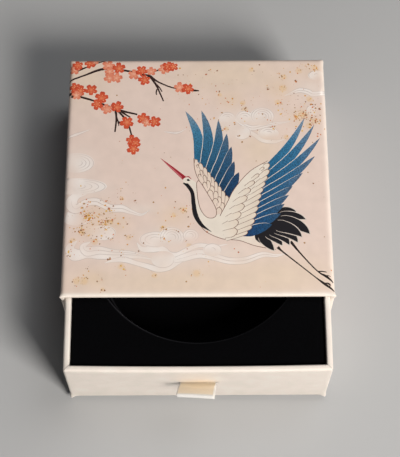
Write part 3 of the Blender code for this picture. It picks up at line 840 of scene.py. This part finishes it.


# millimetres: the threads' size and height, and where the painted highlights on the edges and on the fold
# fade
satin = {"thread": 0.3, "threadHeight": 0.03, "dark": "#EEDDC2", "light": "#F8EDD8", "pale": "#E2E0DC",
         "edge": (6.1, 6.6), "fold": (1.6, 0.7)}


def satinMaterial(foldAt):
    # Satin ribbon: fine cross threads, a soft shine along them, and a painted highlight that makes it
    # paler along its edges and over the fold, which lies half way along the strip.
    # The threads are 0.12 mm in the real one and are drawn wider so that they show.
    material, tree, shader = newMaterial("champagne satin", Roughness=0.42, Specular_IOR_Level=0.5,
                                         Sheen_Weight=0.2, Sheen_Roughness=0.3)
    uv = addNode(tree, "ShaderNodeUVMap", uv_map="cloth").outputs["UV"]
    split = addNode(tree, "ShaderNodeSeparateXYZ", {"Vector": uv})
    values = {"Vector": uv, "Scale": 1 / (np.pi * satin["thread"] * mm), "Distortion": 0.4, "Detail": 1.0}
    wave = addNode(tree, "ShaderNodeTexWave", values, wave_type="BANDS", bands_direction="Y")
    threads = wave.outputs["Fac"]
    setBump(tree, shader, threads, 0.3, satin["threadHeight"])
    # painted highlight: the satin is paler along both edges and over the fold
    clear, pale = satin["edge"]
    edge = ranged(tree, calc(tree, "ABSOLUTE", split.outputs["X"]), clear * mm, pale * mm)
    fromFold = calc(tree, "ABSOLUTE", calc(tree, "SUBTRACT", split.outputs["Y"], foldAt * mm))
    clear, pale = satin["fold"]
    paleLit = calc(tree, "MAXIMUM", edge, ranged(tree, fromFold, clear * mm, pale * mm))
    tones = ramp(tree, threads, [(0.0, satin["dark"]), (1.0, satin["light"])])
    tree.links.new(mixed(tree, paleLit, tones, rgba(satin["pale"])), shader.inputs["Base Color"])
    return material


printedPaper = printedPaperMaterial()
drawerLow, drawerHigh = inMm(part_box("drawer_tray"))
drawerWall = 2.3
creamPaper = plainPaperMaterial("cream pearl paper", "#E9E2D9", "#E3DBD1", "#E8DED5",
                                (drawerLow, drawerHigh, drawerWall))
liningPaper = plainPaperMaterial("white lining paper", "#E3DED4", "#D8D2C6", "#E0D8CD")


# Sleeve: one sheet of printed paper over board. Its net is a cross of the top and three
# flaps. The picture's outlines and a fine grid cut the net into triangles, which take
# their ink at the corners, and the net is folded over the rounded edges.

sleeveLow, sleeveHigh = inMm(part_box("sleeve"))
sleeve = {"edgeRadius": 1.7, "wall": 1.5, "mouthOuter": 0.6, "mouthInner": 0.4, "turnIn": 12.0,
          "topGrid": 1.0, "flapGrid": 2.0, "roundSteps": 5, "sideBow": 0.3, "topWave": 0.10,
          "ear": (1.0, 0.6, 0.3), "earSpread": (1.3, 1.3, 1.6)}  # sideways, lengthwise and up
sleeveWidth, sleeveLength, sleeveHeight = sleeveHigh - sleeveLow
coreWidth, coreLength = sleeveWidth / 2 - sleeve["edgeRadius"], sleeveLength / 2 - sleeve["edgeRadius"]
roundLength = sleeve["edgeRadius"] * quarterTurn
flapLength = sleeveHeight - 2 * sleeve["edgeRadius"]
netFront = -(sleeveLength / 2 - sleeve["mouthOuter"])


def foldCore(u, v):  # the straight part under each point of the net, and the way its paper faces
    radius = sleeve["edgeRadius"]
    side, back = np.abs(u) - coreWidth, v - coreLength
    sideTurn, backTurn = (np.clip(part / radius, 0, quarterTurn) for part in (side, back))
    drop = np.maximum(side - roundLength, 0) + np.maximum(back - roundLength, 0)
    facing = np.stack([np.sign(u) * np.sin(sideTurn), np.sin(backTurn),
                       np.cos(sideTurn) * np.cos(backTurn)], -1)
    facing /= np.linalg.norm(facing, axis=-1, keepdims=True)
    core = np.stack([np.clip(u, -coreWidth, coreWidth), np.minimum(v, coreLength),
                     sleeveHeight - radius - drop], -1)
    return core, facing


def foldNet(u, v):
    core, facing = foldCore(u, v)
    return core + sleeve["edgeRadius"] * facing


def upsideDown(points):
    return points * (1, 1, -1) + (0, 0, sleeveHeight)


def netGrid():
    steps = np.linspace(0, roundLength, sleeve["roundSteps"] + 1)[1:]
    flatU = spaced(-coreWidth, coreWidth, sleeve["topGrid"])
    flatV = spaced(netFront, coreLength, sleeve["topGrid"])
    flap = roundLength + spaced(0, flapLength, sleeve["flapGrid"])[1:]
    around = np.concatenate([-(coreWidth + steps)[::-1], flatU, coreWidth + steps])
    alongV = np.concatenate([flatV, coreLength + steps])
    return around, alongV, coreWidth + flap, coreLength + flap


def grid2d(u, v):
    return np.stack(np.meshgrid(u, v), -1).reshape(-1, 2)


def liesInside(points, outline):
    # the winding rule: count the outline's edges that cross a line from the point to the
    # right, upward ones as plus and downward ones as minus
    start, end = outline, np.roll(outline, -1, axis=0)
    y = points[:, 1][:, None]
    upward, downward = (start[:, 1] <= y) & (end[:, 1] > y), (start[:, 1] > y) & (end[:, 1] <= y)
    turn = ((end[:, 0] - start[:, 0]) * (y - start[:, 1])
            - (points[:, 0][:, None] - start[:, 0]) * (end[:, 1] - start[:, 1]))
    return (upward & (turn > 0)).sum(1) != (downward & (turn < 0)).sum(1)


def printNet():
    around, alongV, flapU, flapV = netGrid()
    edgeU, edgeV = coreWidth + roundLength, coreLength + roundLength
    endU, endV = flapU[-1], flapV[-1]
    net = np.array([(-endU, netFront), (endU, netFront), (endU, edgeV), (edgeU, edgeV), (edgeU, endV),
                    (-edgeU, endV), (-edgeU, edgeV), (-endU, edgeV)])
    grid = np.vstack([grid2d(around, alongV), grid2d(flapU, alongV), grid2d(-flapU, alongV),
                      grid2d(around, flapV)])
    outlines = [net] + [outline for outline, _ in picture]
    firsts = np.cumsum([0] + [len(outline) for outline in outlines])
    edges = []
    for first, outline in zip(firsts, outlines):
        index = first + np.arange(len(outline))
        edges += np.stack([index, np.roll(index, -1)], -1).tolist()
    places = np.vstack(outlines + [grid]).tolist()
    cut = delaunay_2d_cdt([Vector(place) for place in places], edges, [], 0, 1e-4)
    cutPoints, triangles = np.array([tuple(point) for point in cut[0]]), np.array(cut[2])
    centres = cutPoints[triangles].mean(1)
    inNet = (np.abs(centres[:, 0]) < edgeU) | (centres[:, 1] < edgeV)
    triangles, centres = triangles[inNet], centres[inNet]
    corners = cutPoints[triangles]
    inks = groundInk(corners.reshape(-1, 2)).reshape(-1, 3, 4)
    for outline, colour in picture:
        low, high = outline.min(0), outline.max(0)
        near = np.flatnonzero(((centres >= low) & (centres <= high)).all(1))
        own = near[liesInside(centres[near], outline)]
        inks[own] = colour(corners[own].reshape(-1, 2)).reshape(-1, 3, 4) if callable(colour) else colour
    return foldNet(cutPoints[:, 0], cutPoints[:, 1]), triangles, inks.reshape(-1, 4)


def sleeveShape(points):
    # the walls bow out a little between their edges, the top lies in shallow waves, and the
    # folded paper stands up in small ears at the corners
    x, y, z = points.T
    length, height = 1 - (2 * y / sleeveLength) ** 2, np.sin(np.pi * between(z, 0, sleeveHeight))
    moved = points.copy()
    outside = between(np.abs(x), sleeveWidth / 2 - 3, sleeveWidth / 2 - 1)
    moved[:, 0] += np.sign(x) * sleeve["sideBow"] * length * height * outside
    upper = between(z, sleeveHeight - 2.5, sleeveHeight - 1)
    inner = (1 - (2 * x / sleeveWidth) ** 4) * (1 - (2 * y / sleeveLength) ** 4)
    moved[:, 2] += sleeve["topWave"] * upper * inner * (np.sin(x / 17 + 0.6) * np.sin(y / 21 + 1.1) - 0.3)
    spreadX, spreadY, spreadZ = sleeve["earSpread"]
    for side, end in ((-1, -1), (-1, 1), (1, -1), (1, 1)):
        corner = bump(x, side * sleeveWidth / 2, spreadX) * bump(y, end * sleeveLength / 2, spreadY)
        corner *= bump(z, sleeveHeight, spreadZ)
        moved += corner[:, None] * sleeve["ear"] * (side, end, 1)
    return moved


def makeSleeve():
    points, triangles, inks = printNet()
    parts, faces, faceInks, lined = [points], triangles.tolist(), [inks], [0] * len(triangles)
    around, alongV, flapU, _ = netGrid()

    # the underside: the same fold turned over, without flaps
    first = len(points)
    place = grid2d(around, alongV)
    parts.append(upsideDown(foldNet(*place.T)))
    under = gridFaces(len(alongV), len(around), first)[:, ::-1]
    faces += under.tolist()
    faceInks.append(groundInk(place[(under - first).ravel()]))
    lined += [0] * len(under)

    # the mouth: the outline of the front edge drawn in over the board's edge and along the inside
    topU = np.concatenate([-flapU[::-1], around, flapU])
    core, facing = foldCore(topU, np.full(len(topU), netFront))
    underCore, underFacing = foldCore(around[::-1][1:-1], np.full(len(around) - 2, netFront))
    core = np.vstack([core, upsideDown(underCore)])[:, [0, 2]]
    facing = np.vstack([facing, underFacing * (1, 1, -1)])[:, [0, 2]]
    turn = np.linspace(0, quarterTurn, 5)
    outer, inner, wall = sleeve["mouthOuter"], sleeve["mouthInner"], sleeve["wall"]
    front = -sleeveLength / 2
    inset = np.concatenate([outer * (1 - np.cos(turn)), wall - inner + inner * np.sin(turn), [wall, wall]])
    depth = np.concatenate([front + outer * (1 - np.sin(turn)), front + inner * (1 - np.cos(turn)),
                            [front + sleeve["turnIn"], sleeveLength / 2 - wall]])
    middle = sleeveHeight / 2
    x, z = insetOutline(core - (0, middle), facing, sleeveWidth / 2, middle, sleeve["edgeRadius"], inset)
    tube = np.stack([x, np.broadcast_to(depth[:, None], x.shape), z + middle], -1).reshape(-1, 3)
    first = sum(len(part) for part in parts)
    parts.append(tube)
    ring = gridFaces(len(inset), len(core), first, wrap=True)
    faces += ring.tolist()
    # the lip takes the ink of the picture's front edge, and past the corners that of a place 2 mm in
    lip = np.column_stack([np.clip(core[:, 0], 2 - sleeveWidth / 2, sleeveWidth / 2 - 2),
                           np.full(len(core), front)])
    faceInks.append(groundInk(lip[((ring - first) % len(core)).ravel()]))
    lined += (np.arange(len(ring)) // len(core) >= len(inset) - 2).astype(int).tolist()
    last = first + (len(inset) - 1) * len(core)
    faces.append(list(range(last, last + len(core))))
    faceInks.append(np.tile(ink(ground["cream"]), (len(core), 1)))
    lined.append(1)

    points = sleeveShape(np.vstack(parts)) * mm
    thing = meshObject("sleeve_paper", points, faces, [printedPaper, liningPaper], "sleeve")
    layer = thing.data.color_attributes.new("ink", "FLOAT_COLOR", "CORNER")
    layer.data.foreach_set("color", np.vstack(faceInks).astype(np.float32).ravel())
    thing.data.polygons.foreach_set("material_index", np.array(lined, np.int32))
    weld(thing)
    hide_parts("sleeve")
    return thing


sleevePiece = makeSleeve()
print(f"sleeve folded: {len(sleevePiece.data.polygons)} faces")


# Drawer: cream paper over board. A profile that runs up the outer wall, over the rim and
# down inside is carried round the rounded rectangle, and the slot is left open in both walls.

drawer = {"wall": drawerWall, "floor": 1.8, "edgeRadius": 1.0, "rimRadius": 0.7,
          "slotUp": 17.6, "slotHalfHeight": 0.65, "slotHalfWidth": 7.05,
          "gridStep": 1.0, "outerStep": 1.5, "innerStep": 2.0, "roundSteps": 5,
          "frontBow": 0.5, "sideBow": 0.25, "paperStep": 0.16,
          "dent": (0.4, -10.5, 5.0, -0.2, 1.6),  # depth, right of the slot, width, above it, height
          "puff": (0.16, -4, 12.0, 4.2, 3.2),
          "ear": (0.15, 1.15, 0.22), "rimEar": 0.1}


def boxOutline(halfWidth, halfLength, radius, marks, step, turns):
    # once round a rectangle with round corners: the straight core under each point and its
    # outward direction. Marks are extra places on the front side.
    sideU = spaced(-(halfWidth - radius), halfWidth - radius, step)
    sideU = np.unique(np.concatenate([sideU, marks]).round(6))
    sideV = spaced(-(halfLength - radius), halfLength - radius, step)
    angles = np.linspace(0, quarterTurn, turns + 1)[1:-1]
    core, facing = [], []
    sides = ((sideU, -quarterTurn), (sideV, 0), (sideU[::-1], quarterTurn), (sideV[::-1], np.pi))
    for quarter, (places, start) in enumerate(sides):
        reach = (halfLength - radius, halfWidth - radius)[quarter % 2]
        line = np.full(len(places), (-reach, reach, reach, -reach)[quarter])
        straight = np.stack([places, line] if quarter % 2 == 0 else [line, places], -1)
        core.append(straight)
        facing.append(np.tile(unit(start), (len(places), 1)))
        core.append(np.tile(straight[-1], (len(angles), 1)))
        facing.append(unit(start + angles))
    return np.vstack(core), np.vstack(facing)


def drawerShape(x, y, z, halfWidth, halfLength, height):
    # the front and side walls bow out towards their rims, the front paper lies over the side
    # paper with a small step, the corners end in ears, and the paper is pressed in left of the
    # slot and stands out a little above it. An ear's sizes are sideways, forward and down.
    def hill(reach, right, width, above, tall):
        return reach * bump(x, right, width) * bump(z, drawer["slotUp"] + above, tall)

    # how far each point belongs to the front wall and to a side wall, each a bit over 2.3 thick
    front = between(-y, halfLength - 3.2, halfLength - 2.4)
    side = between(np.abs(x), halfWidth - 3.2, halfWidth - 2.4)
    up = between(z, 0, height)
    newY = y - front * drawer["frontBow"] * (1 - (x / halfWidth) ** 2) * up
    newX = x + np.sign(x) * side * drawer["sideBow"] * (1 - (y / halfLength) ** 2) * up
    fromCorner = (halfLength + y) - (halfWidth - np.abs(x))  # below zero on the front's side of the mitre
    newZ = z + drawer["paperStep"] * between(fromCorner, 0.125, -0.125) * (z > height - 0.9) * front
    outerFace = between(-y, halfLength - 1.2, halfLength - 0.4)
    newY += outerFace * (hill(*drawer["dent"]) * (x < -7) - hill(*drawer["puff"]))
    earOut, earReach, earDrop = drawer["ear"]
    for end in (-1, 1):
        low = bump(x, end * halfWidth, 1.4) * bump(y, -halfLength, 1.4) * bump(z, 0, 1.6)
        newX, newY, newZ = newX + end * earOut * low, newY - earReach * low, newZ - earDrop * low
        rim = bump(x, end * (halfWidth - 2.1), 0.9) * bump(y, -(halfLength - 2.1), 0.9) * bump(z, height, 1.2)
        newZ = newZ + drawer["rimEar"] * rim
    return newX, newY, newZ


def makeDrawer():
    width, length, height = drawerHigh - drawerLow
    halfWidth, halfLength = width / 2, length / 2
    radius, rim, wall = drawer["edgeRadius"], drawer["rimRadius"], drawer["wall"]
    slotEdge = drawer["slotHalfWidth"]
    core, facing = boxOutline(halfWidth, halfLength, radius, [-slotEdge, slotEdge], drawer["gridStep"],
                              drawer["roundSteps"])
    turn = np.linspace(0, quarterTurn, drawer["roundSteps"] + 1)
    slotLow, slotHigh = (drawer["slotUp"] + end * drawer["slotHalfHeight"] for end in (-1, 1))
    outerStep, innerStep = drawer["outerStep"], drawer["innerStep"]
    rise = np.concatenate([spaced(radius, slotLow, outerStep), spaced(slotHigh, height - radius, outerStep)])
    fall = np.concatenate([spaced(drawer["floor"], slotLow, innerStep),
                           spaced(slotHigh, height - rim, innerStep)])[::-1]
    inset = np.concatenate([radius * (1 - np.sin(turn)), np.zeros(len(rise) - 2), radius * (1 - np.cos(turn)),
                            wall - rim + rim * np.sin(turn), np.full(len(fall) - 1, wall)])
    level = np.concatenate([radius * (1 - np.cos(turn)), rise[1:-1], height - radius + radius * np.sin(turn),
                            height - rim + rim * np.cos(turn), fall[1:]])
    x, y = insetOutline(core, facing, halfWidth, halfLength, radius, inset)
    z = np.broadcast_to(level[:, None], x.shape)
    rows, columns = x.shape
    quads = gridFaces(rows, columns, wrap=True)
    row, column = np.divmod(np.arange(len(quads)), columns)
    # the faces that the slot takes away: both of a face's columns lie within it, on the front,
    # and the middle of its two rows lies at the slot's height
    within = np.abs(core[:, 0]) < slotEdge + 0.01
    inSlot = within[column] & np.roll(within, -1)[column] & (core[column, 1] < 0)
    inSlot &= np.abs((level[row] + level[row + 1]) / 2 - drawer["slotUp"]) < 0.1
    outerWall = inSlot & (row < rows // 2)
    innerWall = inSlot & (row >= rows // 2)
    faces = quads[~inSlot].tolist()
    # the slot's four walls join the outer opening to the inner one
    outerQuads, innerQuads = quads[outerWall], quads[innerWall]
    for outerQuad, innerQuad in zip(outerQuads, innerQuads):
        a, b, c, d = outerQuad
        e, f, g, h = innerQuad
        faces += [[a, b, g, h][::-1], [d, c, f, e]]
    a, _, _, d = outerQuads[0]
    e, _, _, h = innerQuads[0]
    faces.append([a, h, e, d][::-1])
    _, b, c, _ = outerQuads[-1]
    _, f, g, _ = innerQuads[-1]
    faces.append([b, g, f, c])
    faces += endFaces(rows, columns)
    x, y, z = drawerShape(x.ravel(), y.ravel(), z.ravel(), halfWidth, halfLength, height)
    points = onFloor(x, y, z, drawerLow, drawerHigh)
    thing = meshObject("drawer_paper", points, faces, [creamPaper], "drawer")
    weld(thing)
    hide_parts("drawer_tray")
    return thing


drawerPiece = makeDrawer()
print(f"drawer wrapped: {len(drawerPiece.data.polygons)} faces")


# Pad: flocked foam. Rings run from the middle of the recess's floor out over its rim to the
# pad's edge and down its sides; each ring lies between a circle and the pad's outline.

padLow, padHigh = inMm(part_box("insert_pad"))
pad = {"recessRadius": 39.75, "recessDepth": 16.0, "recessSetback": 1.8, "rimRadius": 0.6,
       "floorRadius": 1.2, "edgeRadius": 1.0, "step": 1.6, "swell": 0.25,
       "rimHighlightOut": 0.3}  # how far outside the recess's wall the painted rim highlight lies
recessCentre = (0, (padLow[1] + padHigh[1]) / 2 + pad["recessSetback"], padHigh[2])
blackFlock = velvetMaterial(recessCentre, pad["recessRadius"] + pad["rimHighlightOut"])


def makePad():
    width, length, height = padHigh - padLow
    halfWidth, halfLength = width / 2, length / 2
    core, facing = boxOutline(halfWidth, halfLength, pad["edgeRadius"], [], pad["step"], 3)
    edge = core + pad["edgeRadius"] * facing
    centre = np.array([0, pad["recessSetback"]])
    out = (edge - centre) / np.linalg.norm(edge - centre, axis=1, keepdims=True)
    turn = np.linspace(0, quarterTurn, 6)
    radius, rim, foot = pad["recessRadius"], pad["rimRadius"], pad["floorRadius"]
    floor = height - pad["recessDepth"]
    # round part: floor, the hollow at its foot, the wall and the rounded rim
    reach = np.concatenate([np.linspace(0.02, radius - foot, 12)[:-1], radius - foot + foot * np.sin(turn),
                            radius + rim * (1 - np.cos(turn))])
    level = np.concatenate([np.full(11, floor), floor + foot * (1 - np.cos(turn)),
                            height - rim + rim * np.sin(turn)])
    rounds = centre + reach[:, None, None] * out
    # from the circle to the pad's edge, then over the edge and down the side
    share = np.linspace(0, 1, 7)[1:, None, None]
    soft = pad["edgeRadius"]
    start, end = centre + (radius + rim) * out, edge - facing * soft
    spread = start + (end - start) * share
    over = np.array([edge - facing * soft * (1 - np.sin(part)) for part in turn[1:]])
    down = np.array([edge] * 4 + [edge - facing * soft])
    places = np.concatenate([rounds, spread, over, down])
    levels = np.concatenate([level, np.full(6, height), height - soft * (1 - np.cos(turn[1:])),
                             np.linspace(height - soft, 0, 5)[1:], [0]])
    x, y = places[..., 0], places[..., 1]
    z = np.broadcast_to(levels[:, None], x.shape).copy()
    # the flock stands a little fuller near the recess's rim and sinks towards the walls
    away = np.hypot(x, y - pad["recessSetback"])
    flat = (z > height - 0.5) & (away > radius)
    z += flat * pad["swell"] * (bump(away, radius + 2.5, 3.5) - 0.5)
    rows, columns = x.shape
    faces = gridFaces(rows, columns, wrap=True).tolist()
    faces += endFaces(rows, columns)
    points = onFloor(x, y, z, padLow, padHigh)
    thing = meshObject("flocked_pad", points, faces, [blackFlock], "drawer")
    weld(thing)
    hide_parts("insert_pad")
    return thing


padPiece = makePad()
print(f"pad flocked: {len(padPiece.data.polygons)} faces")


# Ribbon: one strip of satin folded in half, both ends glued behind the front wall and the
# fold left standing out of the slot. Its path is carried across the ribbon's width.

ribbon = {"width": 13.5, "thickness": 0.22, "layerGap": 0.16, "foldRadius": 0.62, "tilt": 38.0,
          "tab": 9.0, "bend": 1.4, "tail": 9.0, "tailBend": 0.5, "tailGap": 0.65, "skew": 6.5,
          "lowerSkew": 0.35, "crown": 0.12, "columns": 28}


def ribbonSide(layer):
    # one layer of the ribbon seen from the side, from its glued end to the fold: up behind the
    # wall, out through the slot, and up along the tab. The layers part towards the fold.
    offset = layer * (ribbon["thickness"] / 2 + ribbon["layerGap"] / 2)
    turn = np.linspace(0, quarterTurn, 6)
    tailY, soft = drawer["wall"] + ribbon["tailGap"], ribbon["tailBend"]
    tail = np.stack([np.full(6, tailY), np.linspace(-ribbon["tail"], -soft, 6)], -1)[:-1]
    corner = np.array([tailY - soft, -soft]) + soft * unit(turn)
    tilt = np.radians(ribbon["tilt"]) * np.linspace(0, 1, 6)
    bend = np.stack([-ribbon["bend"] * np.sin(tilt), ribbon["bend"] * (1 - np.cos(tilt))], -1)
    along = np.linspace(0, ribbon["tab"] - ribbon["bend"] * tilt[-1] - ribbon["foldRadius"], 14)[1:]
    ahead = np.array([-np.cos(tilt[-1]), np.sin(tilt[-1])])
    path = np.vstack([tail, corner, bend, bend[-1] + along[:, None] * ahead])
    across = leftOf(path)
    rise = between(np.arange(len(path)), len(path) - 10, len(path) - 1)
    apart = offset + layer * rise ** 2 * (3 - 2 * rise) * (ribbon["foldRadius"] - abs(offset))
    return path, across, path + across * apart[:, None]


def makeRibbon():
    path, across, upper = ribbonSide(1)
    _, _, lower = ribbonSide(-1)
    tilt = np.radians(ribbon["tilt"])
    ahead, sideways = np.array([-np.cos(tilt), np.sin(tilt)]), across[-1]
    angle = np.linspace(0, np.pi, 9)[1:-1, None]
    fold = path[-1] + ribbon["foldRadius"] * (np.cos(angle) * sideways + np.sin(angle) * ahead)
    side = np.vstack([upper, fold, lower[::-1]])
    reach = np.concatenate([[0], np.cumsum(np.linalg.norm(np.diff(side, axis=0), axis=1))])
    cross = np.linspace(-0.5, 0.5, ribbon["columns"])
    y, z = (np.repeat(side[:, axis][:, None], len(cross), 1) for axis in (0, 1))
    x = np.broadcast_to(cross * ribbon["width"], y.shape).copy()
    out = np.maximum(0, -y / np.cos(tilt) - ribbon["bend"])
    isLower = (np.arange(len(side)) > len(upper) + len(fold) // 2)[:, None]
    # drawn to the left towards the fold, the lower layer a little more, and crowned across
    slant = np.sin(np.radians(ribbon["skew"])) * x * out / ribbon["tab"]
    lift = ribbon["crown"] * (1 - (2 * cross) ** 2) * between(out, 0, 3)
    newX = x - np.tan(np.radians(ribbon["skew"])) * out - isLower * ribbon["lowerSkew"] * between(out, 0, 2)
    newY = y - slant * np.cos(tilt) + lift * np.sin(tilt)
    newZ = z + slant * np.sin(tilt) + lift * np.cos(tilt)
    rows, columns = y.shape
    places = [newX, newY + drawerLow[1], newZ + drawerLow[2] + drawer["slotUp"]]
    points = np.stack(places, -1).reshape(-1, 3) * mm
    faces = gridFaces(rows, columns).tolist()
    champagneSatin = satinMaterial(reach[-1] / 2)
    thing = meshObject("pull_ribbon_satin", points, faces, [champagneSatin], "drawer")
    cloth = np.broadcast_arrays(cross * ribbon["width"] * mm, reach[:, None] * mm)
    cloth = np.stack(cloth, -1).reshape(-1, 2)
    corners = np.empty(len(thing.data.loops), np.int32)
    thing.data.loops.foreach_get("vertex_index", corners)
    layer = thing.data.uv_layers.new(name="cloth")
    layer.uv.foreach_set("vector", cloth[corners].astype(np.float32).ravel())
    thicken = thing.modifiers.new("cloth", "SOLIDIFY")
    thicken.thickness = ribbon["thickness"] * mm
    thicken.offset = 0.0
    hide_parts("pull_ribbon")


makeRibbon()
print("ribbon folded")


# Floor, lights and the world around the box
studio = {"floor": "#AFB0B1", "floorReach": 3.0, "world": "#D9DCE0", "worldStrength": 0.07,
          "aim": (0, 0, 0.02),  # the lamps' aim, and all of the studio's places and sizes, in metres
          "lamps": [  # name, place, size, watts, colour
              ("key softbox", (0.50, -0.63, 0.64), 0.34, 11.8, "#FFFAF4"),
              ("fill card", (0.0, -0.9, 0.7), 0.8, 0.3, "#F2F5FF"),
              ("top card", (0.42, 0.3, 1.0), 0.6, 2.9, "#FFFFFF"),
          ]}


def makeStudio():
    mesh = bpy.data.meshes.new("floor")
    reach = studio["floorReach"]
    corners = [(-reach, -reach, 0), (reach, -reach, 0), (reach, reach, 0), (-reach, reach, 0)]
    mesh.from_pydata(corners, [], [(0, 1, 2, 3)])
    floor = bpy.data.objects.new("floor", mesh)
    scene.collection.objects.link(floor)
    material = newMaterial("matte grey card", Roughness=0.8, Base_Color=rgba(studio["floor"]))[0]
    mesh.materials.append(material)
    world = bpy.data.worlds.new("studio")
    scene.world = world
    world.use_nodes = True
    background = world.node_tree.nodes["Background"]
    background.inputs["Color"].default_value = rgba(studio["world"])
    background.inputs["Strength"].default_value = studio["worldStrength"]
    for name, place, size, watts, colour in studio["lamps"]:
        data = bpy.data.lights.new(name, "AREA")
        data.size, data.energy, data.color = size, watts, linear(colour).tolist()
        lamp = bpy.data.objects.new(name, data)
        scene.collection.objects.link(lamp)
        lamp.location = place
        lamp.rotation_euler = (Vector(studio["aim"]) - Vector(place)).to_track_quat("-Z", "Y").to_euler()
    scene.view_settings.view_transform = "Standard"


makeStudio()
print("studio lit")
